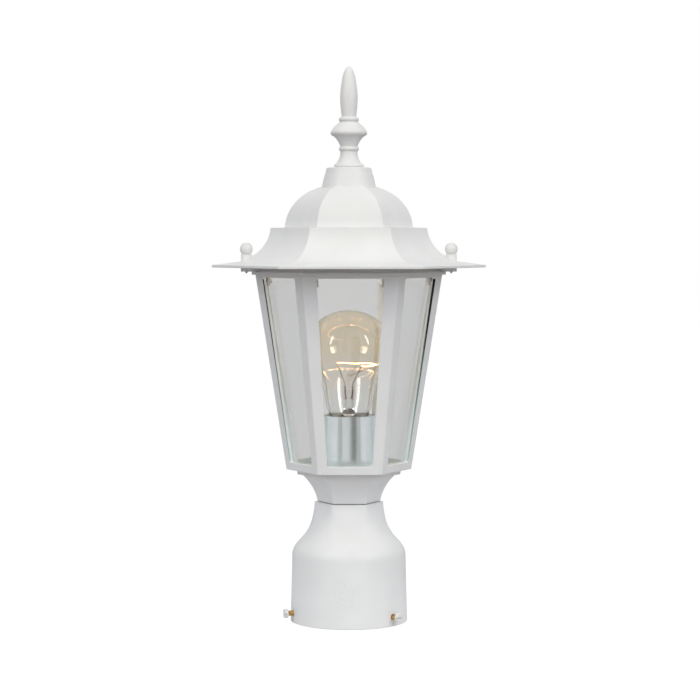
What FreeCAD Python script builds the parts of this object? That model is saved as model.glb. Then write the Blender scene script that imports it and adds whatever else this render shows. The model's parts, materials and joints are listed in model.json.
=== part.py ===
import FreeCAD
import Part
import math
import os
from FreeCAD import Vector

# A post top lantern: a six-sided glazed cage on a fitter that slips over the top of a lamp post.
# Sizes are in millimetres and angles in degrees. The origin is the centre of the fitter's mouth,
# +Z is up, the front window faces -Y, and two of the six corners point along -X and +X.
# A size called "corner" is a radius out to a corner of the hexagon, an "apothem" one out to a flat.
# A bulge is how far an arc stands off its chord, and a negative one hollows the outline.

# Fits and clearances
thread_fit = 0.05          # radial, a screw in its threaded hole
hole_fit = 0.3             # radial, a plain hole round a screw or the nipple
seat_gap = 0.2             # between faces that part when something is lifted off or unscrewed
glass_fit = 0.4            # round the edges of a pane
glass_front_gap = 0.15     # between a pane and the wall it is clipped against
overrun = 1.0              # how far a cut runs past the faces it goes through
edge_tolerance = 0.01

# Fitter: a round skirt for a three inch post, which flares in to a hexagonal top
post_diameter = 76.2
post_fit = 0.8
fitter_wall = 3.2
fitter_draft = 1.2
fitter_skirt_height = 46.0
fitter_flare_height = 39.5
fitter_top_corner = 24.6
fitter_top_wall = 3.0
fitter_top_round = 2.6
flare_turn = 0.39          # share of the flare's height at which the radius falls fastest
flare_power = 3
flare_square_start = 0.5   # share of the flare's height at which it starts to turn hexagonal
flare_square_power = 1.5
flare_round_turn = 15.0    # half the angle that a corner arc turns through where the flare is round
flare_square_turn = 27.0   # and where it is hexagonal
flare_shares = (0, 0.07, 0.16, 0.27, 0.4, 0.55, 0.7, 0.85, 1)
flare_hollow_shares = (0, 0.1, 0.22, 0.36, 0.52, 0.7)
flare_hollow_end = (-0.2, 1)
register_radius = 17.0
register_height = 0.6

# Set screws that grip the post
set_screw_azimuths = {"left": 197.0, "right": 317.0, "back": 77.0}
set_screw_height = 6.7
set_screw_radius = 2.0
set_screw_tip_gap = 0.1
set_screw_standoff = 4.2
set_screw_head_radius = 3.3
set_screw_head_length = 2.6
set_screw_slot_width = 0.8
set_screw_slot_depth = 1.1

# Neck: a hexagonal cove under a flange
neck_bottom_corner = 22.8
neck_cove_top_corner = 34.0
neck_cove_height = 19.1
neck_cove_bulge = 1.7
neck_flange_corner = 37.3
neck_flange_height = 3.8
neck_wall = 2.5
neck_corner_round = 1.0

# Cage: six sloping faces with a window in each, a flange and a rim
cage_bottom_corner = 45.2
cage_top_corner = 67.2
cage_height = 139.9
cage_wall = 2.8
cage_floor = 2.5
cage_corner_round = 1.6
cage_flange_corner = 69.6
cage_flange_height = 2.2
rim_corner = 66.5
rim_height = 2.8
window_sill_height = 5.4
window_head_drop = 1.9
window_corner_round = 1.2
post_strip_bottom = 7.2    # width of the cage beside a window, from the window's edge to the corner
post_strip_top = 10.0
ear_stand = 3.8            # from the flange's corner out to the axis of a roof screw
ear_radius = 4.0
rib_thickness = 2.0
rib_back_gap = 0.8         # the corner ribs stop this far short of the clips

# Panes and the clips that hold them
pane_thickness = 3.0
pane_head_overlap = 2.6
pane_cut_width = 7.5
pane_cut_height = 8.5
clip_half_width = 6.5
clip_height = 7.0
clip_thickness = 0.8
clip_pane_gap = 0.05
clip_boss_radius = 2.3
clip_screw_radius = 1.3
clip_screw_length = 4.5
clip_screw_head_radius = 2.5
clip_screw_head_height = 1.5

# Roof: brim, cove, ledge and dome, which are hexagonal, and a round collar, in one casting
roof_wall = 2.2
brim_corner = 98.2
brim_edge_height = 1.7
brim_lip_width = 1.6
brim_lip_depth = 0.4
brim_inner_corner = 79.0
brim_rise = 2.4
cove_top_corner = 56.2
cove_height = 24.1
cove_bulge = -4.9
ledge_rise = 0.4
dome_corner = 46.0
dome_top_corner = 19.4
dome_height = 28.9
dome_bulge = 6.0
collar_sink = 3.0          # how far the collar's cone runs down into the dome
collar_step_height = 8.4
collar_step = 0.35
collar_top_radius = 15.9
collar_height = 13.7
collar_round = 0.5
roof_corner_round = 1.0
seat_ring_width = 4.3
lip_width = 1.4
lip_depth = 3.5
lip_fit = 1.0
roof_boss_radius = 3.9
roof_boss_stand = 0.96     # top of a boss above the roof beside its ball
roof_boss_root_radius = 4.4

# Ball-headed screws that hold the roof to the ears
ball_screw_radius = 2.0
ball_radius = 4.6
ball_neck_radius = 3.5
ball_neck_height = 0.9
ball_sink = 1.9            # how far the ball's underside is cut flat on its neck
ball_screw_reach = 4.3     # tip below the ear's top
ball_screw_point = 2.2

# Finial, its stud and the fixings under the collar
finial_gap = 0.15
stud_radius = 2.4
stud_length = 20.0
stud_depth = 11.5          # how deep the stud stands in the finial
roof_washer_radius = 7.0
roof_washer_thickness = 0.8
roof_nut_flats = 9.0
roof_nut_height = 3.2
finial_base_radius = 9.8
finial_base_height = 2.5
finial_base_bulge = 1.0
finial_foot_radius = 9.5
finial_foot_bulge = -1.0
finial_waist_radius = 6.2
finial_waist_height = 11.6
finial_ring_bulge = 1.0
finial_ring_height = 3.2
finial_disc_radius = 13.2
finial_disc_height = 24.2
finial_disc_edge = 1.6
finial_disc_under_bulge = -0.9
finial_disc_edge_bulge = 0.9
finial_disc_top_bulge = 0.5
finial_shoulder_radius = 6.2
finial_shoulder_height = 32.5
leaf_foot_radius = 5.2
leaf_radius = 6.3
leaf_belly_height = 13.4
leaf_taper_radius = 4.9
leaf_taper_height = 26.6
leaf_length = 36.4
leaf_foot_way = (0.1, 1)
leaf_tip_way = (-1, 0.5)

# Nipple, the threaded tube that clamps fitter, neck and cage together, and what is screwed on it
nipple_radius = 4.8
nipple_bore_radius = 3.2
nipple_tail = 4.8          # below the lower nut
bushing_radius = 6.3
bushing_lip = 1.2
nut_flats = 16.0
lower_nut_height = 4.2
lower_washer_radius = 9.0
lower_washer_thickness = 0.8
upper_nut_height = 2.6
ground_screw_offset = 13.6
ground_screw_radius = 1.8
ground_screw_head_radius = 3.1
ground_screw_head_height = 1.8
ground_hole_cover = 0.5    # metal left over the end of the screw's hole
ground_screw_tip_gap = 0.5

# Lamp socket
sleeve_radius = 20.0
sleeve_height = 36.8
sleeve_wall = 0.8
hub_radius = 14.0
hub_thickness = 2.1
socket_base_radius = 15.5
socket_base_height = 7.0
socket_radius = 18.6
socket_height = 29.0
socket_cavity_radius = 14.6
socket_cavity_floor = 4.0
screw_shell_radius = 13.9
screw_shell_wall = 0.4
screw_shell_height = 21.4
screw_shell_floor_hole = 7.0
center_contact_radius = 4.0
center_contact_height = 1.0
terminal_height = 2.1      # above the underside of the socket body
terminal_screw_radius = 1.4
terminal_screw_length = 4.5
terminal_head_radius = 2.6
terminal_head_height = 1.6
terminal_azimuths = (0.0, 180.0)

# Bulb
bulb_gap = 0.3             # between the bulb's contact and the socket's
bulb_contact_radius = 4.5
bulb_contact_height = 1.5
insulator_bottom_radius = 9.4
insulator_top_radius = 12.0
insulator_height = 3.2
base_crest_radius = 13.2
base_root_radius = 12.5
base_thread_pitch = 3.63
base_thread_turns = 4
base_wall = 0.4
base_skirt_radius = 14.0
base_skirt_height = 3.9
base_skirt_cone = 1.3
glass_wall = 0.7
glass_neck_radius = 13.0
glass_throat_radius = 14.8
glass_throat_height = 5.3
glass_flank_radius = 19.6
glass_flank_height = 25.3
glass_belly_radius = 30.5
glass_belly_height = 52.8
glass_height = 78.5
glass_crown_turns = (30, 60, 90)
glass_sink = 2.0           # how deep the glass stands in the skirt of the base
stem_radius = 3.5
stem_dish_height = 6.0
stem_dish_bulge = -2.5
stem_tube_height = 7.0
stem_pinch_height = 8.5
stem_pinch_width = 8.0
stem_pinch_thickness = 3.0
stem_rod_radius = 1.1
stem_rod_height = 7.5
stem_button_radius = 2.0
stem_overlap = 1.0         # how far the stem's stretches run into each other
lead_radius = 0.4
lead_spacing = 5.4
lead_straight = 2.0        # in the pinch, and again above it
support_radius = 0.25
support_azimuths = (70.0, 25.0, -20.0)
filament_radius = 0.45
filament_ring_radius = 19.8
filament_rise = 15.8       # above the pinch
filament_azimuths = (115.0, -65.0)

cos30 = math.cos(math.radians(30))
tan30 = math.tan(math.radians(30))
up = Vector(0, 0, 1)
origin = Vector(0, 0, 0)
faces = range(6)

# Places that follow from the sizes above, from the mouth of the fitter upwards
ear_reach = cage_flange_corner + ear_stand
fitter_bore_radius = post_diameter / 2 + post_fit
fitter_mouth_radius = fitter_bore_radius + fitter_wall
fitter_shoulder_radius = fitter_mouth_radius - fitter_draft
fitter_top = fitter_skirt_height + fitter_flare_height
fitter_ceiling = fitter_top - fitter_top_wall
neck_bottom = fitter_top + register_height
neck_flange_bottom = neck_bottom + neck_cove_height
cage_bottom = neck_flange_bottom + neck_flange_height
cage_floor_top = cage_bottom + cage_floor
cage_flange_bottom = cage_bottom + cage_height
rim_bottom = cage_flange_bottom + cage_flange_height
rim_top = rim_bottom + rim_height
roof_bottom = rim_top + seat_gap
cove_bottom = roof_bottom + brim_edge_height + brim_rise
ledge_height = cove_bottom + cove_height
dome_bottom = ledge_height + ledge_rise
collar_bottom = dome_bottom + dome_height
collar_top = collar_bottom + collar_height
finial_bottom = collar_top + finial_gap
sleeve_bottom = cage_floor_top
upper_nut_bottom = sleeve_bottom + sleeve_wall
hub_bottom = upper_nut_bottom + upper_nut_height
socket_bottom = hub_bottom + hub_thickness
socket_floor = socket_bottom + socket_cavity_floor
bulb_bottom = socket_floor + center_contact_height + bulb_gap
insulator_bottom = bulb_bottom + bulb_contact_height
base_bottom = insulator_bottom + insulator_height
skirt_bottom = base_bottom + base_thread_pitch * (base_thread_turns + 0.5)
skirt_top = skirt_bottom + base_skirt_height
glass_bottom = skirt_top - glass_sink
stem_tube_bottom = skirt_top + stem_dish_height
stem_pinch_bottom = stem_tube_bottom + stem_tube_height
stem_pinch_top = stem_pinch_bottom + stem_pinch_height
stem_rod_top = stem_pinch_top + stem_rod_height
filament_height = stem_pinch_top + filament_rise
nipple_hole_radius = nipple_radius + hole_fit
lower_washer_bottom = fitter_ceiling - lower_washer_thickness
lower_nut_bottom = lower_washer_bottom - lower_nut_height
nipple_bottom = lower_nut_bottom - nipple_tail + bushing_lip

# Slopes of the cage: of a face, and of the corner line between two faces
face_lean = math.atan((cage_top_corner - cage_bottom_corner) * cos30 / cage_height)
corner_lean = math.atan((cage_top_corner - cage_bottom_corner) / cage_height)
pane_front = cage_wall + glass_front_gap
pane_back = pane_front + pane_thickness


class Outline:
    """A section drawn point by point in the XZ plane."""

    def __init__(self, x, z):
        self.start = Vector(x, 0, z)
        self.here = self.start
        self.edges = []

    def line(self, x, z):
        there = Vector(x, 0, z)
        self.edges.append(Part.LineSegment(self.here, there).toShape())
        self.here = there
        return self

    def arc(self, x, z, bulge):
        """An arc that stands off its chord by the bulge, to the right of the way it is drawn."""
        there = Vector(x, 0, z)
        chord = there - self.here
        aside = Vector(chord.z, 0, -chord.x).normalize()
        middle = (self.here + there) * 0.5 + aside * bulge
        self.edges.append(Part.Arc(self.here, middle, there).toShape())
        self.here = there
        return self

    def curve(self, points, first_way, last_way):
        """A smooth curve through the points, which starts and ends in the given directions."""
        places = [self.here] + [Vector(x, 0, z) for x, z in points]
        spline = Part.BSplineCurve()
        spline.interpolate(Points=places, InitialTangent=Vector(first_way[0], 0, first_way[1]),
                           FinalTangent=Vector(last_way[0], 0, last_way[1]))
        self.edges.append(spline.toShape())
        self.here = places[-1]
        return self

    def face(self):
        self.line(self.start.x, self.start.z)
        return Part.Face(Part.Wire(self.edges))


def turned(outline):
    """A solid of revolution about the lantern's axis."""
    return outline.face().revolve(origin, up, 360)


def six_sided(outline):
    """A solid of six mitred sides, whose section is drawn as apothem and height."""
    section = outline.face()
    reach = 2 * section.BoundBox.XMax
    section.translate(Vector(0, -reach, 0))
    length = section.extrude(Vector(0, 2 * reach, 0))
    low = section.BoundBox.ZMin
    corners = [Vector(0, 0, low), Vector(reach, reach * tan30, low), Vector(reach, -reach * tan30, low)]
    wedge_face = Part.Face(Part.makePolygon(corners + corners[:1]))
    side = length.common(wedge_face.extrude(Vector(0, 0, section.BoundBox.ZLength)))
    sides = [spun(side, 30 + 60 * number) for number in faces]
    return sides[0].fuse(sides[1:]).removeSplitter()


def spun(shape, azimuth):
    """A copy of the shape turned about the lantern's axis."""
    copy = shape.copy()
    copy.rotate(origin, up, azimuth)
    return copy


def cylinder(radius, bottom, top, x=0.0, y=0.0):
    return Part.makeCylinder(radius, top - bottom, Vector(x, y, bottom))


def ring(outer, inner, bottom, top):
    return cylinder(outer, bottom, top).cut(cylinder(inner, bottom, top))


def hexagon_prism(flats, bottom, top):
    corner = flats / 2 / cos30
    points = [spun(Part.Vertex(corner, 0, bottom), 60 * number).Point for number in faces]
    return Part.Face(Part.makePolygon(points + points[:1])).extrude(Vector(0, 0, top - bottom))


def layer(shape, bottom, top):
    """The part of a shape that lies between two heights."""
    reach = 2 * max(shape.BoundBox.XMax, shape.BoundBox.YMax)
    corner = Vector(-reach, -reach, bottom)
    return shape.common(Part.makeBox(2 * reach, 2 * reach, top - bottom, corner))


def round_corner_edges(shape, radius, bottom, top):
    """Rounds the outer edges that run up the six corners between two heights."""
    chosen = []
    for edge in shape.Edges:
        box = edge.BoundBox
        middle = edge.valueAt((edge.FirstParameter + edge.LastParameter) / 2)
        azimuth = math.degrees(math.atan2(middle.y, middle.x)) % 60
        on_corner = min(azimuth, 60 - azimuth) < edge_tolerance
        between = box.ZMin > bottom - edge_tolerance and box.ZMax < top + edge_tolerance
        if on_corner and between and box.ZLength > radius / 2:
            chosen.append(edge)
    return shape.makeFillet(radius, chosen)


def inset_arc(first, last, bulge, wall):
    """The ends and bulge of the arc that lies a wall's thickness inside another one."""
    chord = last - first
    aside = Vector(chord.z, 0, -chord.x).normalize()
    radius = chord.Length ** 2 / (8 * abs(bulge)) + abs(bulge) / 2
    side = math.copysign(1, bulge)
    center = (first + last) * 0.5 + aside * (bulge - side * radius)
    scale = (radius - side * wall) / radius
    return center + (first - center) * scale, center + (last - center) * scale, bulge * scale


def flare_reach(share):
    """Corner radius of the fitter's flare at a share of its height."""
    tail = 1 / (1 + (1 / flare_turn) ** flare_power)
    left = 1 / (1 + (share / flare_turn) ** flare_power) - tail * share
    return fitter_top_corner + (fitter_shoulder_radius - fitter_top_corner) * left


def flare_squareness(share):
    """How far the flare has turned from a circle, 0, to a hexagon, 1."""
    step = min(max((share - flare_square_start) / (1 - flare_square_start), 0), 1)
    return (step * step * (3 - 2 * step)) ** flare_square_power


def flare_rounding(share):
    reach = flare_reach(share)
    squareness = flare_squareness(share)
    return reach * (1 - squareness) + fitter_top_round * squareness


def flare_apothem(share):
    reach = flare_reach(share)
    rounding = flare_rounding(share)
    return (reach - rounding) * cos30 + rounding


def flare_section(share):
    """Six corner arcs and six nearly flat side arcs at one height of the flare."""
    reach = flare_reach(share)
    rounding = flare_rounding(share)
    height = fitter_skirt_height + share * fitter_flare_height
    half_turn = flare_round_turn + (flare_square_turn - flare_round_turn) * flare_squareness(share)
    edges = []
    for number in faces:
        def corner_point(turn):
            out = Vector(reach - rounding, 0, height)
            out += Vector(math.cos(math.radians(turn)), math.sin(math.radians(turn)), 0) * rounding
            return spun(Part.Vertex(out), 60 * number).Point

        ends = [corner_point(turn) for turn in (-half_turn, 0, half_turn)]
        edges.append(Part.Arc(*ends).toShape())
        side_radius = rounding + (reach - rounding) * 0.5 / math.sin(math.radians(30 - half_turn))
        side_offset = (side_radius - rounding) * math.sin(math.radians(half_turn)) * 2
        side_middle = spun(Part.Vertex(side_radius - side_offset, 0, height), 60 * number + 30).Point
        next_start = spun(Part.Vertex(ends[0]), 60).Point
        edges.append(Part.Arc(ends[2], side_middle, next_start).toShape())
    return Part.Wire(edges)


def fitter():
    skirt = turned(Outline(0, 0).line(fitter_mouth_radius, 0)
                   .line(fitter_shoulder_radius, fitter_skirt_height).line(0, fitter_skirt_height))
    flare = Part.makeLoft([flare_section(share) for share in flare_shares], True, False)
    body = skirt.fuse(flare).fuse(cylinder(register_radius, fitter_ceiling, neck_bottom))
    hollow_shares = flare_hollow_shares + (1 - fitter_top_wall / fitter_flare_height,)
    hollow_points = [(flare_apothem(share) - fitter_wall, fitter_skirt_height + share * fitter_flare_height)
                     for share in hollow_shares]
    hollow = Outline(0, -overrun).line(fitter_bore_radius, -overrun).line(fitter_bore_radius, fitter_skirt_height)
    hollow.line(*hollow_points[0])
    hollow.curve(hollow_points[1:], (0, 1), flare_hollow_end)
    hollow.line(0, fitter_ceiling)
    body = body.cut(turned(hollow)).cut(ground_screw_hole())
    body = body.cut(cylinder(nipple_hole_radius, fitter_ceiling - overrun, neck_bottom + overrun))
    return body.cut([set_screw_hole(azimuth) for azimuth in set_screw_azimuths.values()])


def fitter_face_radius(height):
    return fitter_mouth_radius - fitter_draft * height / fitter_skirt_height


def radial_cylinder(radius, inner, outer, azimuth, height):
    """A cylinder whose axis points straight out from the lantern's axis."""
    out = Vector(math.cos(math.radians(azimuth)), math.sin(math.radians(azimuth)), 0)
    return Part.makeCylinder(radius, outer - inner, out * inner + up * height, out)


def set_screw_hole(azimuth):
    inner = fitter_bore_radius - overrun
    outer = fitter_mouth_radius + overrun
    return radial_cylinder(set_screw_radius + thread_fit, inner, outer, azimuth, set_screw_height)


def set_screw(azimuth):
    head_face = fitter_face_radius(set_screw_height) + set_screw_standoff
    head_end = head_face + set_screw_head_length
    tip = fitter_bore_radius + set_screw_tip_gap
    shank = radial_cylinder(set_screw_radius, tip, head_face, azimuth, set_screw_height)
    head = radial_cylinder(set_screw_head_radius, head_face, head_end, azimuth, set_screw_height)
    slot = Part.makeBox(set_screw_slot_depth, 2 * set_screw_head_radius, set_screw_slot_width,
                        Vector(head_end - set_screw_slot_depth, -set_screw_head_radius,
                               set_screw_height - set_screw_slot_width / 2))
    return shank.fuse(head).cut(spun(slot, azimuth))


def neck():
    foot = Vector(neck_bottom_corner * cos30, 0, neck_bottom)
    cove_end = Vector(neck_cove_top_corner * cos30, 0, neck_flange_bottom)
    flange = neck_flange_corner * cos30
    body = Outline(0, foot.z).line(foot.x, foot.z).arc(cove_end.x, cove_end.z, -neck_cove_bulge)
    body.line(flange, cove_end.z).line(flange, cage_bottom).line(0, cage_bottom)
    solid = round_corner_edges(six_sided(body), neck_corner_round, neck_bottom, cage_bottom)
    first, last, bulge = inset_arc(foot, cove_end, -neck_cove_bulge, neck_wall)
    hollow = Outline(0, first.z).line(first.x, first.z).arc(last.x, last.z, bulge)
    hollow.line(last.x, cage_bottom + overrun).line(0, cage_bottom + overrun)
    solid = solid.cut(layer(six_sided(hollow), neck_bottom + neck_wall, cage_bottom + overrun))
    return solid.cut(cylinder(nipple_hole_radius, neck_bottom - overrun, neck_bottom + neck_wall + overrun))


def face_point(across, along, inward):
    """A point on the cage's face at azimuth 0, from the middle of the face's bottom edge."""
    apothem = cage_bottom_corner * cos30
    x = apothem + along * math.sin(face_lean) - inward * math.cos(face_lean)
    z = cage_bottom + along * math.cos(face_lean) + inward * math.sin(face_lean)
    return Vector(x, across, z)


def face_along(height, inward):
    """How far up the sloping face a height lies, at a depth behind its front."""
    return (height - cage_bottom - inward * math.sin(face_lean)) / math.cos(face_lean)


def face_plate(points, front, back):
    """A plate that lies parallel to the cage's face, from its outline and two depths."""
    places = [face_point(across, along, front) for across, along in points]
    inward = Vector(-math.cos(face_lean), 0, math.sin(face_lean))
    return Part.Face(Part.makePolygon(places + places[:1])).extrude(inward * (back - front))


def face_half_width(along, inward):
    """Half the width of the cage between two corner planes."""
    return face_point(0, along, inward).x * tan30


def window():
    bottom = face_along(cage_bottom + window_sill_height, 0)
    top = face_along(cage_flange_bottom - window_head_drop, 0)
    half_bottom = face_half_width(bottom, 0) - post_strip_bottom
    half_top = face_half_width(top, 0) - post_strip_top
    points = [(-half_bottom, bottom), (half_bottom, bottom), (half_top, top), (-half_top, top)]
    opening = face_plate(points, -2 * cage_wall, 2 * cage_wall)
    through = [edge for edge in opening.Edges if abs(edge.Length - 4 * cage_wall) < edge_tolerance]
    return opening.makeFillet(window_corner_round, through)


def pane():
    bottom = face_along(cage_floor_top + glass_fit, pane_front)
    top = face_along(cage_flange_bottom - window_head_drop + pane_head_overlap, pane_back)
    edge_gap = rib_thickness / 2 / cos30 + glass_fit
    half_bottom = face_half_width(bottom, pane_back) - edge_gap
    half_top = face_half_width(top, pane_back) - edge_gap
    half_cut = face_half_width(top - pane_cut_height, pane_back) - edge_gap
    right = [(half_bottom, bottom), (half_cut, top - pane_cut_height), (half_top - pane_cut_width, top)]
    left = [(-across, along) for across, along in reversed(right)]
    return face_plate(right + left, pane_front, pane_back)


def corner_frame():
    """Directions at the corner at azimuth 0: across it, inwards, and up along it."""
    across = Vector(0, 1, 0)
    inward = Vector(-math.cos(corner_lean), 0, math.sin(corner_lean))
    along = Vector(math.sin(corner_lean), 0, math.cos(corner_lean))
    return across, inward, along


def clip_depth():
    """Depth behind the corner at which a clip's edges reach the backs of both panes."""
    across, inward, _ = corner_frame()
    normal = Vector(math.cos(face_lean) * cos30, math.cos(face_lean) / 2, -math.sin(face_lean))
    reach = pane_back + clip_pane_gap + clip_half_width * normal.dot(across)
    return reach / -normal.dot(inward)


def clip_center():
    """The point on the corner line that a clip's screw points at, so that its boss clears the panes."""
    _, inward, along = corner_frame()
    pane_top = cage_flange_bottom - window_head_drop + pane_head_overlap
    height = pane_top - pane_cut_height + clip_boss_radius
    rise = (height - cage_bottom - pane_front * inward.z) / along.z
    return Vector(cage_bottom_corner, 0, cage_bottom) + along * rise


def corner_box(half_width, low, high, front, back):
    """A block square to the corner line: its width, its reach along the corner, and its depths."""
    across, inward, along = corner_frame()
    start = clip_center() + along * low + inward * front - across * half_width
    corners = [start, start + across * (2 * half_width), start + across * (2 * half_width) + along * (high - low),
               start + along * (high - low)]
    return Part.Face(Part.makePolygon(corners + corners[:1])).extrude(inward * (back - front))


def corner_rib():
    """The rib between two panes, and the boss on it that takes a clip's screw."""
    _, inward, _ = corner_frame()
    rib = corner_box(rib_thickness / 2, -2 * cage_height, 2 * clip_boss_radius, cage_wall, clip_depth() - rib_back_gap)
    rib = layer(rib, cage_floor_top - cage_floor / 2, cage_flange_bottom)
    boss = Part.makeCylinder(clip_boss_radius, clip_depth() - cage_wall, clip_center() + inward * cage_wall, inward)
    return rib.fuse(boss)


def clip_screw_hole():
    _, inward, _ = corner_frame()
    start = clip_center() + inward * (clip_depth() - clip_screw_length)
    return Part.makeCylinder(clip_screw_radius + thread_fit, 2 * clip_screw_length, start, inward)


def pane_clip():
    plate = corner_box(clip_half_width, -clip_height / 2, clip_height / 2, clip_depth(), clip_depth() + clip_thickness)
    return plate.cut(clip_screw_hole())


def clip_screw():
    _, inward, _ = corner_frame()
    head_start = clip_center() + inward * (clip_depth() + clip_thickness)
    head = Part.makeCylinder(clip_screw_head_radius, clip_screw_head_height, head_start, inward)
    shank_start = clip_center() + inward * (clip_depth() - clip_screw_length + thread_fit)
    shank = Part.makeCylinder(clip_screw_radius, clip_screw_length + clip_thickness, shank_start, inward)
    return head.fuse(shank)


def ear(side):
    reach = side * ear_reach
    tab = cylinder(ear_radius, rim_bottom, rim_top, reach)
    root = side * (rim_corner - cage_wall)
    bridge = Part.makeBox(abs(reach - root), 2 * ear_radius, rim_height,
                          Vector(min(root, reach), -ear_radius, rim_bottom))
    return tab.fuse(bridge)


def cage():
    bottom = cage_bottom_corner * cos30
    top = cage_top_corner * cos30
    flange = cage_flange_corner * cos30
    rim = rim_corner * cos30
    body = Outline(0, cage_bottom).line(bottom, cage_bottom).line(top, cage_flange_bottom)
    body.line(0, cage_flange_bottom)
    shell = round_corner_edges(six_sided(body), cage_corner_round, cage_bottom, cage_flange_bottom)
    head = Outline(0, cage_flange_bottom).line(flange, cage_flange_bottom).line(flange, rim_bottom)
    head.line(rim, rim_bottom).line(rim, rim_top).line(0, rim_top)
    inner_bottom = face_point(0, face_along(cage_floor_top, cage_wall), cage_wall).x
    inner_top = face_point(0, face_along(rim_top, cage_wall), cage_wall).x
    hollow = Outline(0, cage_floor_top).line(inner_bottom, cage_floor_top).line(inner_top, rim_top).line(0, rim_top)
    hollow_solid = six_sided(hollow)
    shell = shell.fuse([six_sided(head), ear(-1), ear(1)]).cut(hollow_solid)
    shell = shell.fuse([spun(corner_rib(), 60 * number) for number in faces])
    shell = shell.cut([spun(window(), 30 + 60 * number) for number in faces])
    shell = shell.cut([spun(clip_screw_hole(), 60 * number) for number in faces])
    holes = [cylinder(ball_screw_radius + thread_fit, rim_bottom - overrun, rim_top + overrun, side * ear_reach)
             for side in (-1, 1)]
    holes.append(cylinder(nipple_hole_radius, cage_bottom - overrun, cage_floor_top + overrun))
    return shell.cut(holes).removeSplitter()


def collar():
    """A round cone with a fine step near its top, which starts inside the dome."""
    foot_radius = dome_top_corner
    slope = (foot_radius - collar_top_radius - collar_step) / collar_height
    step_radius = foot_radius - slope * collar_step_height
    step_height = collar_bottom + collar_step_height
    outline = Outline(0, collar_bottom - collar_sink)
    outline.line(foot_radius + slope * collar_sink, collar_bottom - collar_sink)
    outline.line(step_radius, step_height).line(step_radius - collar_step, step_height)
    outline.line(collar_top_radius + slope * collar_round, collar_top - collar_round)
    return turned(outline.line(collar_top_radius - collar_round, collar_top).line(0, collar_top))


def roof_shell():
    """The brim, cove, ledge and dome with an even wall, and the collar on top of them."""
    brim = brim_corner * cos30
    brim_inner = Vector(brim_inner_corner * cos30, 0, cove_bottom)
    cove_end = Vector(cove_top_corner * cos30, 0, ledge_height)
    dome_start = Vector(dome_corner * cos30, 0, dome_bottom)
    dome_end = Vector(dome_top_corner * cos30, 0, collar_bottom)
    body = Outline(0, roof_bottom).line(brim, roof_bottom).line(brim, roof_bottom + brim_edge_height)
    body.line(brim_inner.x, brim_inner.z).arc(cove_end.x, cove_end.z, cove_bulge)
    body.line(dome_start.x, dome_start.z).arc(dome_end.x, dome_end.z, dome_bulge).line(0, collar_bottom)
    solid = round_corner_edges(six_sided(body), roof_corner_round, cove_bottom, ledge_height)
    solid = round_corner_edges(solid, roof_corner_round, dome_bottom, collar_bottom)

    first, last, bulge = inset_arc(brim_inner, cove_end, cove_bulge, roof_wall)
    low = Outline(0, roof_bottom - overrun).line(brim - brim_lip_width, roof_bottom - overrun)
    low.line(brim - brim_lip_width, roof_bottom + brim_lip_depth)
    low.line(first.x, first.z).arc(last.x, last.z, bulge).line(0, last.z)
    low_hollow = layer(six_sided(low), roof_bottom - overrun, ledge_height - roof_wall)
    first, last, bulge = inset_arc(dome_start, dome_end, dome_bulge, roof_wall)
    high = Outline(0, ledge_height - 2 * roof_wall).line(first.x, ledge_height - 2 * roof_wall)
    high.line(first.x, first.z).arc(last.x, last.z, bulge).line(0, last.z)
    collar_hollow = Outline(0, last.z - overrun).line(last.x, last.z - overrun).line(last.x, last.z)
    collar_hollow.line(collar_top_radius - roof_wall, collar_top - roof_wall).line(0, collar_top - roof_wall)
    return solid.fuse(collar()).cut([low_hollow, six_sided(high), turned(collar_hollow)])


def cove_surface_height(apothem, depth):
    """Height in the roof's cove, at an apothem and a depth below its outer face."""
    first = Vector(brim_inner_corner * cos30, 0, cove_bottom)
    last = Vector(cove_top_corner * cos30, 0, ledge_height)
    chord = last - first
    radius = chord.Length ** 2 / (8 * -cove_bulge) - cove_bulge / 2
    aside = Vector(chord.z, 0, -chord.x).normalize()
    center = (first + last) * 0.5 + aside * (cove_bulge + radius)
    return center.z - math.sqrt((radius + depth) ** 2 - (apothem - center.x) ** 2)


def boss_top():
    """Height of the bosses, just above the roof at the inner side of the balls."""
    return cove_surface_height((ear_reach - ball_radius) * cos30, 0) + roof_boss_stand


def roof():
    rim_inner = face_point(0, face_along(rim_bottom, cage_wall), cage_wall).x
    lip_outer = rim_inner - lip_fit
    lip_inner = lip_outer - lip_width
    ring_outer = lip_inner + seat_ring_width
    seat = Outline(lip_inner, roof_bottom - lip_depth).line(lip_outer, roof_bottom - lip_depth)
    seat.line(lip_outer, roof_bottom).line(ring_outer, roof_bottom)
    seat.line(ring_outer, cove_surface_height(ring_outer, roof_wall / 2))
    seat.line(lip_inner, cove_surface_height(lip_inner, roof_wall / 2))
    pieces = [six_sided(seat)]
    holes = [cylinder(stud_radius + hole_fit, collar_top - roof_wall - overrun, collar_top + overrun)]
    for side in (-1, 1):
        pieces.append(cylinder(roof_boss_radius, roof_bottom, boss_top(), side * ear_reach))
        pieces.append(cylinder(roof_boss_root_radius, roof_bottom, cove_bottom, side * ear_reach))
        hole_top = boss_top() + overrun
        holes.append(cylinder(ball_screw_radius + hole_fit, roof_bottom - overrun, hole_top, side * ear_reach))
    return roof_shell().fuse(pieces).cut(holes)


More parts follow.
